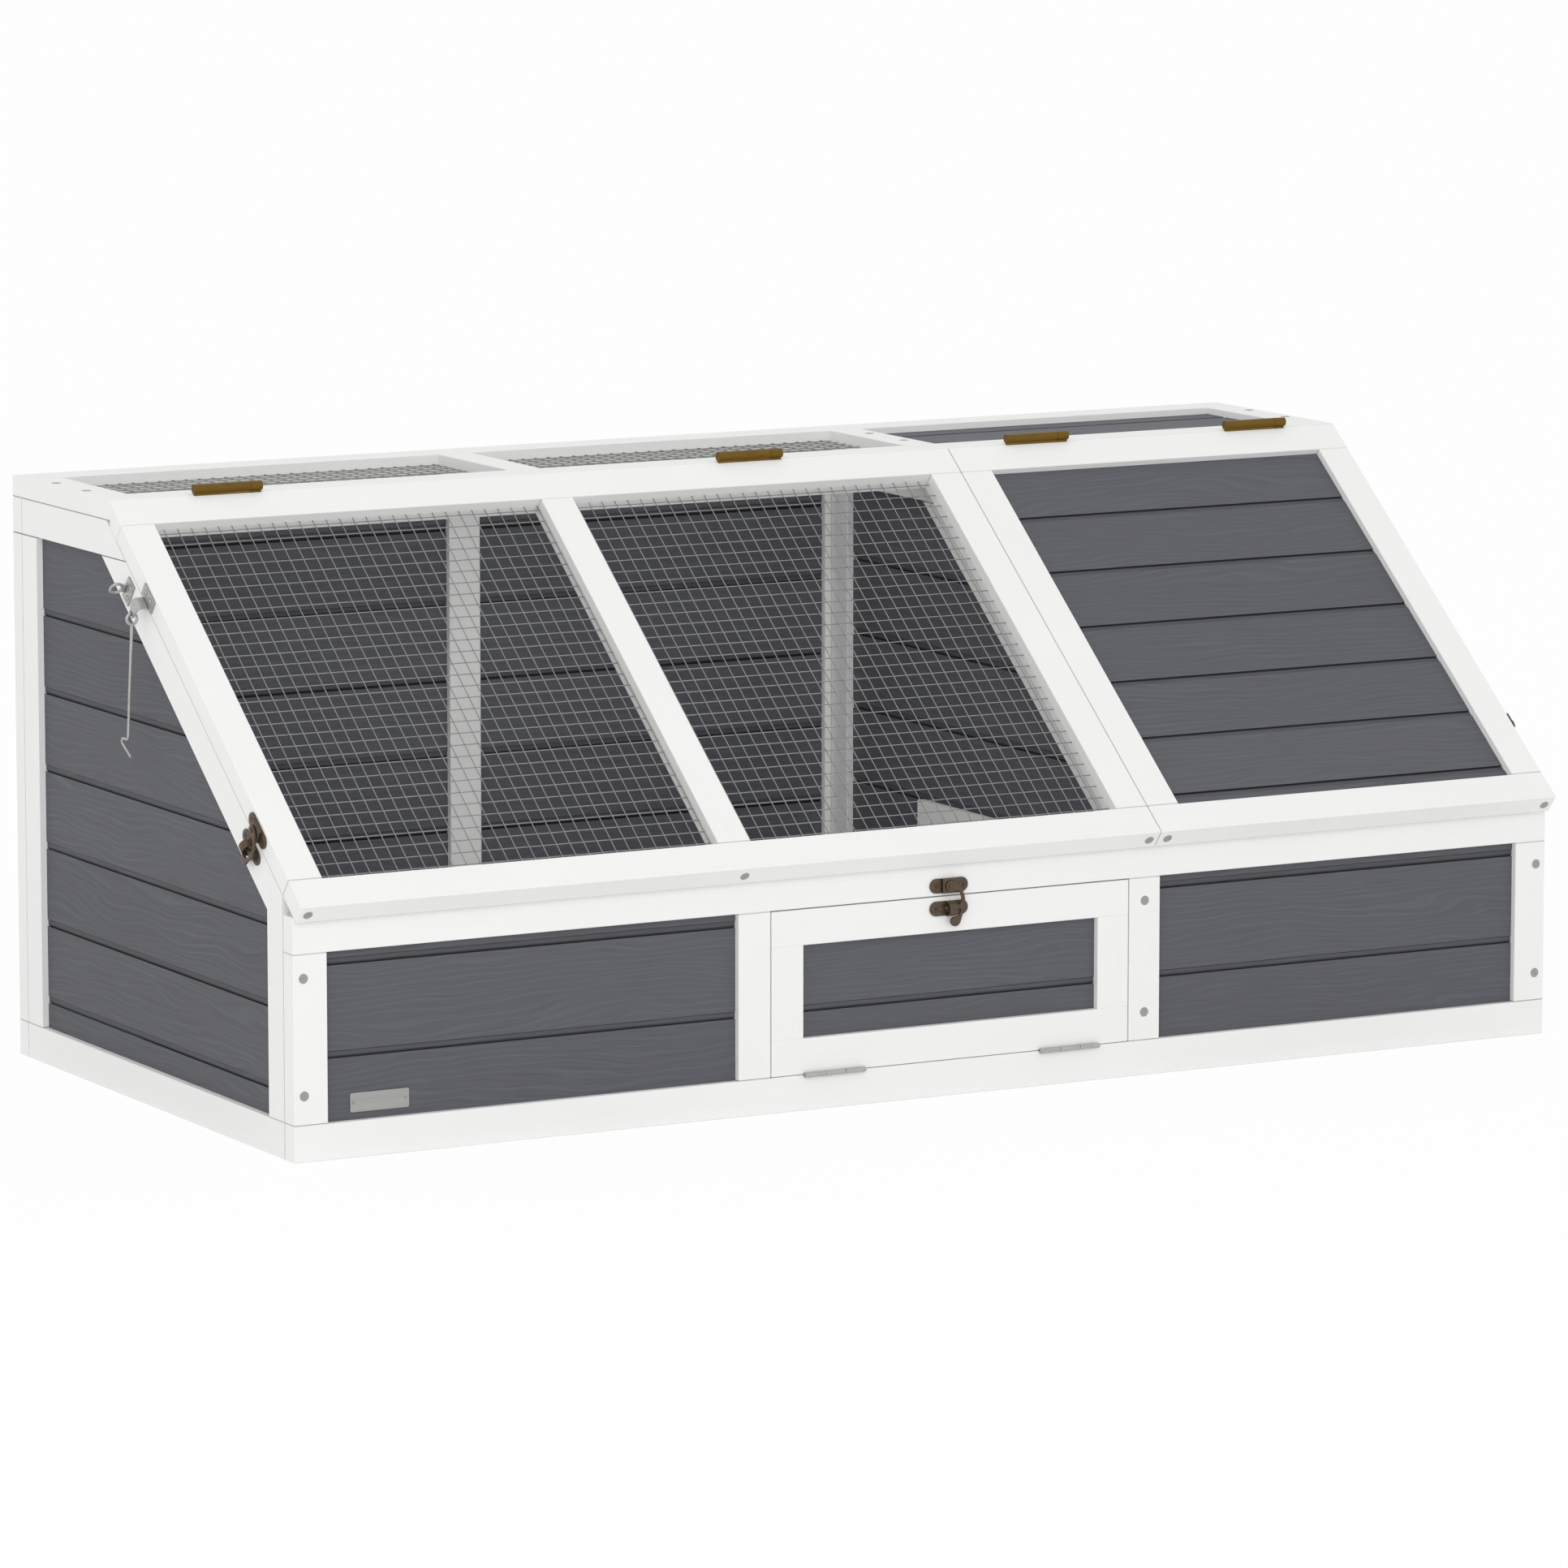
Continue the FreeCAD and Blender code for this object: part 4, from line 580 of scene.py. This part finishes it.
def stamped(outlines, low, high, soft, flowing=False):
    """A sheet between two heights, with edges rounded by soft. Outlines inside the first one are holes."""
    drawing = bpy.data.curves.new("outline", "CURVE")
    drawing.dimensions = "2D"
    drawing.fill_mode = "BOTH"
    drawing.resolution_u = 5
    drawing.extrude = (high - low) / 2 - soft
    drawing.bevel_depth = soft
    drawing.bevel_resolution = 1
    drawing.offset = -soft
    for outline in outlines:
        spline = drawing.splines.new("BEZIER" if flowing else "POLY")
        points = spline.bezier_points if flowing else spline.points
        points.add(len(outline) - 1)
        for point, (x, y) in zip(points, outline):
            if flowing:
                point.co = (x, y, 0)
                point.handle_left_type = point.handle_right_type = "AUTO"
            else:
                point.co = (x, y, 0, 1)
        spline.use_cyclic_u = True
    holder = bpy.data.objects.new("outline", drawing)
    bpy.context.scene.collection.objects.link(holder)
    mesh = bpy.data.meshes.new_from_object(holder.evaluated_get(bpy.context.evaluated_depsgraph_get()))
    bpy.data.objects.remove(holder)
    mesh.transform(Matrix.Translation((0, 0, (low + high) / 2)))
    return mesh


def spokes(count):
    return [2 * math.pi * n / count for n in range(count)]


def turned(levels, angles):
    """A closed shape from rings. A level is a height with one radius, or with one radius for each angle."""
    shape = bmesh.new()
    rings = []
    for height, radius in levels:
        spots = list(zip(np.broadcast_to(radius, len(angles)), angles))
        rings.append([shape.verts.new((r * math.cos(a), r * math.sin(a), height)) for r, a in spots])
    for low, high in zip(rings, rings[1:]):
        for n in range(len(angles)):
            shape.faces.new((low[n - 1], low[n], high[n], high[n - 1]))
    shape.faces.new(rings[0][::-1])
    shape.faces.new(rings[-1])
    mesh = bpy.data.meshes.new("turned")
    shape.to_mesh(mesh)
    shape.free()
    return mesh


def moved(mesh, x, y):
    mesh.transform(Matrix.Translation((x, y, 0)))
    return mesh


def round_bar(start, end, y, radius, steps=10):
    """Outline of a strip from start to end along x, with round ends."""
    turns = [math.pi * n / steps for n in range(steps + 1)]
    right = [(end + radius * math.sin(a), y - radius * math.cos(a)) for a in turns]
    left = [(start - radius * math.sin(a), y + radius * math.cos(a)) for a in turns]
    return right + left


def dot(x, y, radius):
    return [(x + radius * math.cos(a), y + radius * math.sin(a)) for a in spokes(16)]


# %% [markdown]
# The same latch sits three times: on the front for the door, and on each side for a lid, where it is turned
# to the slope. One matrix per latch carries the drawing to its place.

# %% Latches
HOOK_OUTLINE = [
    *((0, 4.5), (1.9, 4.0), (4.8, 3.2), (7.3, 1.3), (9.4, -1.8), (11.0, -4.4), (12.4, -7.3), (13.2, -10.5)),
    *((13.6, -13.6), (14.5, -15.9), (14.6, -17.7), (13.8, -20.2), (12.2, -22.4), (10.8, -25.3), (9.7, -28.8)),
    *((8.4, -31.8), (6.3, -33.8), (3.7, -34.2), (0.9, -32.9), (-0.5, -30.4), (0.1, -27.9), (2.3, -26.4)),
    *((5.3, -25.9), (7.8, -24.3), (9.2, -21.4), (8.9, -19.6), (7.0, -19.3), (2.0, -19.6), (-3.4, -19.7)),
    *((-5.3, -18.8), (-5.6, -17.8), (-4.4, -17.0), (0, -16.6), (5.4, -16.5), (8.2, -15.9), (9.8, -14.2)),
    *((10.2, -11.6), (9.6, -8.5), (8.6, -6.0), (7.1, -4.4), (5.3, -4.1), (2.9, -4.3), (0, -4.6)),
    *((-3.2, -3.2), (-4.5, 0), (-3.2, 3.2)),
]
# The round ends of a plate, its screws and their holes, the catch's place and the sheet's thickness.
PLATE = (-11.4, 12.8)
PLATE_ROUND = 6.2
SCREWS_AT = (-12.2, 14.0)
SCREW_HOLE = 2.5
CATCH_Y = -19.2
SHEET = 1.5
# The strap on the catch is an arch on two legs.
STRAP_OUTER = 6.2
STRAP_INNER = 5.0
LEG_FOOT = 0.9
LEG_TOP = 4.5
# Two lugs stand at the strap's left end, either side of its middle.
LUG_X = -3.9
LUG_ASIDE = 4.3
# Corners of a mesh that lie nearer to each other than this are one.
MERGE = 0.002 * MM


def plate_with_holes(y):
    holes = [dot(x, y, SCREW_HOLE) for x in SCREWS_AT]
    return stamped([round_bar(*PLATE, y, PLATE_ROUND), *holes], 0, SHEET, 0.4)


def bar_across(start, end):
    """Outline of a strip over the whole width of a plate."""
    return [(start, -PLATE_ROUND), (end, -PLATE_ROUND), (end, PLATE_ROUND), (start, PLATE_ROUND)]


def latch_base():
    bridge = stamped([bar_across(-6.6, 8.6)], 1.0, 4.4, 0.4)
    ridge = stamped([bar_across(-8.4, -7.2)], 1.0, 2.1, 0.3)
    # Shank, head and dome of the rivet: 3.2 mm thick, with a head of 4.4 mm.
    rivet = [(2, 1.6), (6.8, 1.6), (6.8, 2.2), (7.1, 2.2), (7.4, 1.7), (7.55, 0.9), (7.6, 0.2)]
    return [plate_with_holes(0), bridge, ridge, turned(rivet, spokes(20))]


def latch_hook():
    return [stamped([HOOK_OUTLINE, dot(0, 0, 1.8)], 4.6, 6.6, 0.45, flowing=True)]


def arch(radius):
    """One edge of the strap: up a leg, over a half circle and down the other leg."""
    turns = [math.pi * n / 20 for n in range(21)]
    over = [(radius * math.cos(a), LEG_TOP + radius * math.sin(a)) for a in turns]
    return [(radius, LEG_FOOT), *over, (-radius, LEG_FOOT)]


def latch_catch():
    # The strap is 7.5 mm long. It is drawn on end and then tipped over, so that the finger slides in along x.
    strap = stamped([arch(STRAP_OUTER) + arch(STRAP_INNER)[::-1]], -3.0, 4.5, 0.3)
    strap.transform(Matrix(((0, 0, 1, 0), (1, 0, 0, CATCH_Y), (0, 1, 0, 0), (0, 0, 0, 1))))
    lug = [(1.0, 1.1), (1.9, 1.1), (2.4, 0.8), (2.6, 0.3)]
    lugs = [moved(turned(lug, spokes(14)), LUG_X, CATCH_Y + side * LUG_ASIDE) for side in (-1, 1)]
    return [plate_with_holes(CATCH_Y), strap, *lugs]


def put_up(name, body, node, meshes, finish, slot, seat=None):
    """Joins meshes into one piece, carries it to its seat, and hands it to a body in place of a node."""
    piece = joined(name, meshes)
    if seat:
        piece.data.transform(seat)
    shape = bmesh.new()
    shape.from_mesh(piece.data)
    bmesh.ops.remove_doubles(shape, verts=shape.verts, dist=MERGE)
    bmesh.ops.recalc_face_normals(shape, faces=shape.faces)
    shape.to_mesh(piece.data)
    shape.free()
    piece.data.materials.append(finish)
    smooth(piece, 35)
    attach(piece, body)
    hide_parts(node)
    print(name, len(piece.data.polygons), "faces")


def seat_at(place, along, up, out):
    """Carries a drawing in millimetres to a place, with its x, y and z along three directions."""
    turn = Matrix((along, up, out)).transposed().to_4x4()
    return Matrix.Translation(place) @ turn @ Matrix.Scale(MM, 4)


pivots = {joint["child"]: Vector(joint["pos_m"]) for joint in frame["joints"]}
# The joint lies in the middle of the hook's sheet, 5.6 mm off the wood.
PIVOT_OUT = 5.6 * MM
latch_seats = {}
for hook, along, up, out in (
    ("door_hook", ACROSS, UP, -BACK),
    ("left_hook", -SLOPE, RISE, -ACROSS),
    ("right_hook", SLOPE, RISE, ACROSS),
):
    latch_seats[hook] = seat_at(pivots[hook] - out * PIVOT_OUT, along, up, out)
bronze = (bronze_lacquer, "bronze_latch")
for side, base_body in (("door", "case"), ("left", "left_lid"), ("right", "right_lid")):
    seat = latch_seats[f"{side}_hook"]
    put_up(f"{side}_latch_plate", base_body, f"{side}_latch_base", latch_base(), *bronze, seat)
    put_up(f"{side}_latch_lever", f"{side}_hook", f"{side}_latch_hook", latch_hook(), *bronze, seat)
put_up("door_latch_keeper", "door", "door_latch_catch", latch_catch(), *bronze, latch_seats["door_hook"])
lid_catches = []
for side in ("left", "right"):
    for mesh in latch_catch():
        mesh.transform(latch_seats[f"{side}_hook"])
        lid_catches.append(mesh)
put_up("lid_latch_keepers", "case", "lid_latch_catches", lid_catches, *bronze)

# %% [markdown]
# The small plate on the front boards is stamped too, with rounded corners, and two tiny nails hold it. Its
# face stays bare. The CAD plate is a little too large, so this one is set against that one's right end.

# %% Bare plate
HALF_WIDE = 52.9 / 2
HALF_HIGH = 15.9 / 2
CORNER = 1.4
# The nails' heads are 1.8 mm across, stand 0.1 mm proud of the sheet and lie 3 mm from the ends.
NAIL_HEAD = 0.9
NAIL_HOLE = 1.05
PROUD = 0.1
nails_at = [side * (HALF_WIDE - 3.0) for side in (-1, 1)]
plate_low, plate_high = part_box("blank_plate")
middle = (plate_low + plate_high) / 2
middle.x = plate_high.x - HALF_WIDE * MM
plate_thick = (plate_high - plate_low).y / MM
corner_turns = [math.pi / 2 * n / 5 for n in range(6)]
outline = []
for quarter, (side_x, side_y) in enumerate(((1, 1), (-1, 1), (-1, -1), (1, -1))):
    for turn in corner_turns:
        angle = turn + quarter * math.pi / 2
        x = side_x * (HALF_WIDE - CORNER) + CORNER * math.cos(angle)
        y = side_y * (HALF_HIGH - CORNER) + CORNER * math.sin(angle)
        outline.append((x, y))
nail = [(0.1, NAIL_HEAD), (plate_thick - PROUD, NAIL_HEAD), (plate_thick, 0.6), (plate_thick, 0.2)]
nails = [moved(turned(nail, spokes(12)), x, 0) for x in nails_at]
sheet = stamped([outline, *(dot(x, 0, NAIL_HOLE) for x in nails_at)], 0, plate_thick - PROUD, 0.2)
bare_seat = seat_at(Vector((middle.x, plate_high.y, middle.z)), ACROSS, UP, -BACK)
put_up("bare_plate", "case", "blank_plate", [sheet, *nails], brushed_plate, "bare_plate", bare_seat)

# %% [markdown]
# Three kinds of screw hold it all: long steel wood screws sunk flush in the timber, small bronze ones flush
# in the latch plates, and small zinc ones with domed heads on the stays. Each has a cross recess, and the
# twelve corners of that cross set the twelve directions of its rings, so a whole screw has fewer than a
# hundred faces. The screws are drawn with a head of radius 1. A tree of Geometry Nodes sets one on each
# point, turned to the way that the CAD screw faces and spun by chance, since no two screws stop at the same
# angle.

# %% Three kinds of screw
ARM = 0.48
HALF_ARM = 0.11
arm_turn = math.atan2(HALF_ARM, ARM)
cross_turns = [quarter + turn for quarter in spokes(4) for turn in (-arm_turn, arm_turn, math.pi / 4)]
cross = np.tile((math.hypot(ARM, HALF_ARM),) * 2 + (HALF_ARM * math.sqrt(2),), 4)
WOOD_SCREW = [
    *((-9.5, 0.05), (-8.9, 0.4), (-0.57, 0.47), (-0.06, 1.0), (0, 0.96)),
    *((-0.005, cross), (-0.04, 0.8 * cross)),
]
FLUSH_SCREW = [
    *((-4.1, 0.05), (-3.8, 0.4), (-1.0, 0.5), (-0.46, 1.0), (-0.4, 0.92)),
    *((-0.37, cross), (-0.64, 0.6 * cross)),
]
DOMED_SCREW = [
    *((-4.1, 0.05), (-3.8, 0.4), (-0.5, 0.5), (-0.5, 1.0), (-0.34, 0.98), (-0.12, 0.84), (-0.01, 0.62)),
    *((0, cross), (-0.3, 0.6 * cross)),
]
SCREWS = {
    # Kind: rings, radius of the head, finish and slot.
    "wood": (WOOD_SCREW, 4.2 * MM, screw_steel, "screw_steel"),
    "latch": (FLUSH_SCREW, 2.4 * MM, bronze_lacquer, "bronze_latch"),
    "stay": (DOMED_SCREW, 2.4 * MM, zinc_plate, "zinc_stay"),
}


def screw_tree():
    ports = (
        ("Geometry", "Geometry"),
        ("Screw", "Object"),
        ("Head Radius", "Float"),
        ("Seed", "Int"),
        ("Finish", "Material"),
    )
    tree, given = geometry_tree("screws_on_points", ports)
    named = add(tree, "GeometryNodeInputNamedAttribute", {"Name": "facing"}, data_type="FLOAT_VECTOR")
    facing = named.outputs[0]
    upright = add(tree, "FunctionNodeAlignRotationToVector", {"Vector": facing}, axis="Z").outputs[0]
    whole_turn = {2: 0.0, 3: math.tau, "Seed": given["Seed"]}
    chance = add(tree, "FunctionNodeRandomValue", whole_turn, data_type="FLOAT").outputs[1]
    spin = add(tree, "FunctionNodeAxisAngleToRotation", {"Axis": (0, 0, 1), "Angle": chance}).outputs[0]
    both = {"Rotation": upright, "Rotate By": spin}
    turn = add(tree, "FunctionNodeRotateRotation", both, rotation_space="LOCAL").outputs[0]
    screw = add(tree, "GeometryNodeObjectInfo", {"Object": given["Screw"]}).outputs["Geometry"]
    rows = add(
        tree,
        "GeometryNodeInstanceOnPoints",
        {"Points": given["Geometry"], "Instance": screw, "Rotation": turn, "Scale": given["Head Radius"]},
    ).outputs[0]
    end_tree(tree, rows, given["Finish"])
    return tree


screw_nodes = screw_tree()
print("screw tree with", len(screw_nodes.nodes), "nodes")

# %% [markdown]
# The CAD screws say where the new ones go. Their mesh is loose triangles, so a copy is merged, and what
# hangs together is one screw. It points along whichever of the four directions it is longest in, and its head
# is at the wider end. A long one is a wood screw, a short one inside a stay's box belongs to the stay, and
# the rest hold latch plates.

# %% Screws


def islands(node):
    """The separate lumps of a CAD node, each as rows of x, y and z."""
    shape = bmesh.new()
    shape.from_mesh(frame["nodes"][node].data)
    bmesh.ops.remove_doubles(shape, verts=shape.verts, dist=MERGE)
    waiting = set(shape.verts)
    lumps = []
    while waiting:
        grow = [waiting.pop()]
        lump = []
        while grow:
            here = grow.pop()
            lump.append(here.co[:])
            near = {edge.other_vert(here) for edge in here.link_edges} & waiting
            waiting -= near
            grow += near
        lumps.append(np.array(lump))
    shape.free()
    return lumps


def screw_place(lump):
    """Top of the head, the way it faces, and the screw's length."""
    axis = max((ACROSS, BACK, UP, SLOPE), key=lambda way: np.ptp(lump @ np.array(way)))
    along = lump @ np.array(axis)
    middle = (lump.min(axis=0) + lump.max(axis=0)) / 2
    aside = np.linalg.norm(lump - middle - np.outer(along - middle @ np.array(axis), axis), axis=1)
    ends = {}
    for way, edge in ((1, along.max()), (-1, along.min())):
        ends[way] = aside[np.abs(along - edge) < 0.05 * MM].max()
    way = max(ends, key=ends.get)
    facing = axis * way
    top = Vector(middle) + facing * (float((along * way).max()) - float(middle @ np.array(facing)))
    return top, facing, float(np.ptp(along))


STAY_BOXES = [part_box(node) for node in ("left_stay_bracket", "right_stay_bracket", "stay_eyes")]
LONG_SCREW = 30 * MM
MARGIN = 3 * MM


def screw_kind(top, length):
    if length > LONG_SCREW:
        return "wood"
    for low, high in STAY_BOXES:
        if all(a - MARGIN < c < b + MARGIN for a, c, b in zip(low, top, high)):
            return "stay"
    return "latch"


for node, body in (
    ("case_screws", "case"),
    ("left_lid_screws", "left_lid"),
    ("right_lid_screws", "right_lid"),
    ("door_screws", "door"),
):
    places = {}
    for top, facing, length in sorted(map(screw_place, islands(node)), key=lambda found: tuple(found[0])):
        places.setdefault(screw_kind(top, length), []).append((top, facing))
    for seed, (kind, found) in enumerate(sorted(places.items())):
        levels, radius, finish, slot = SCREWS[kind]
        pattern = bpy.data.objects.new("pattern", turned(levels, cross_turns))
        points = bpy.data.meshes.new("points")
        points.from_pydata([top for top, facing in found], [], [])
        points.attributes.new("facing", "FLOAT_VECTOR", "POINT").data.foreach_set(
            "vector", [c for top, facing in found for c in facing]
        )
        bpy.context.scene.collection.objects.link(pattern)
        mesh = grown(screw_nodes, points, screw=pattern, head_radius=radius, seed=seed, finish=finish)
        bpy.data.objects.remove(pattern)
        piece = smooth(joined(f"{body}_{kind}_screws", [mesh]), 25)
        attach(piece, body)
        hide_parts(node)
        print(piece.name, len(found), "screws")

# %% [markdown]
# The studio is a white floor under a white sky, a little brighter low down, as in a room with white walls.
# One large soft lamp from the front left gives the faces their small differences. The camera sees floor and
# sky as plain white, and so do reflections in the metal, but the floor still takes the object's soft shadow.

# %% Floor, sky and lamp
HORIZON = 0.97
ZENITH = 0.78
# Share of the floor's look that is plain white. The rest takes the shadow.
FLOOR_GLOW = 0.95
# Half the floor's side, in metres.
FLOOR = 60.0


def seen_directly(tree):
    """1 for what the camera sees, also in a reflection or through something clear, and 0 for other light."""
    ray = add(tree, "ShaderNodeLightPath").outputs
    sharp = maths(tree, "MAXIMUM", ray["Is Camera Ray"], ray["Is Glossy Ray"])
    return maths(tree, "MAXIMUM", sharp, ray["Is Transmission Ray"])


sky = bpy.data.worlds.new("white_sky")
sky.use_nodes = True
tree = sky.node_tree
tree.nodes.clear()
upward = add(tree, "ShaderNodeTexCoord").outputs["Generated"]
height = add(tree, "ShaderNodeSeparateXYZ", {"Vector": upward}).outputs["Z"]
sky_light = ranged(tree, height, HORIZON, ZENITH)
strength = ranged(tree, seen_directly(tree), sky_light, 1.0)
background = add(tree, "ShaderNodeBackground", {"Color": (1, 1, 1, 1), "Strength": strength})
add(tree, "ShaderNodeOutputWorld", {"Surface": background.outputs[0]})
bpy.context.scene.world = sky

paper, tree, shader = finish_tree("white_paper_floor", Roughness=0.9, Base_Color=linear("#F4F4F4"))
glow = maths(tree, "MULTIPLY", seen_directly(tree), FLOOR_GLOW)
white = add(tree, "ShaderNodeEmission", {"Color": (1, 1, 1, 1), "Strength": 1.0}).outputs[0]
look = add(tree, "ShaderNodeMixShader", {0: glow, 1: shader.outputs[0], 2: white}).outputs[0]
output = next(node for node in tree.nodes if node.type == "OUTPUT_MATERIAL")
tree.links.new(look, output.inputs["Surface"])
floor_mesh = bpy.data.meshes.new("floor")
corners = [(-FLOOR, -FLOOR, 0), (FLOOR, -FLOOR, 0), (FLOOR, FLOOR, 0), (-FLOOR, FLOOR, 0)]
floor_mesh.from_pydata(corners, [], [(0, 1, 2, 3)])
floor_mesh.materials.append(paper)
floor = bpy.data.objects.new("floor", floor_mesh)
bpy.context.scene.collection.objects.link(floor)


def lamp(name, place, target, side, watts):
    light = bpy.data.lights.new(name, "AREA")
    light.shape = "SQUARE"
    light.size = side
    light.energy = watts
    holder = bpy.data.objects.new(name, light)
    holder.location = place
    holder.rotation_euler = (Vector(target) - Vector(place)).to_track_quat("-Z", "Y").to_euler()
    bpy.context.scene.collection.objects.link(holder)


lamp("softbox", place=(-2.8, -4.6, 2.2), target=(0, 0, 0.2), side=3.0, watts=64)
print("sky from", HORIZON, "to", ZENITH, "and one softbox")

# %% [markdown]
# The camera stands where the photographer's did: far off with a long lens, to the left of the front and a
# little above the lid. Place, aim and focal length were found by matching the corners of the case.

# %% Camera
AIM = Vector((-15.44, -15.96, 231.25)) * MM
STAND = Vector((-3421.6, -6229.0, 1324.06)) * MM
camera_data = bpy.data.cameras.new("camera")
camera_data.sensor_width = 36.0
camera_data.lens = 192.05
camera_data.clip_end = 200.0
camera = bpy.data.objects.new("camera", camera_data)
camera.location = STAND
camera.rotation_euler = (AIM - STAND).to_track_quat("-Z", "Y").to_euler()
bpy.context.scene.collection.objects.link(camera)
bpy.context.scene.camera = camera
bpy.context.scene.view_settings.view_transform = "Standard"
print("camera", round((AIM - STAND).length, 2), "m away, with a lens of", round(camera_data.lens, 1), "mm")
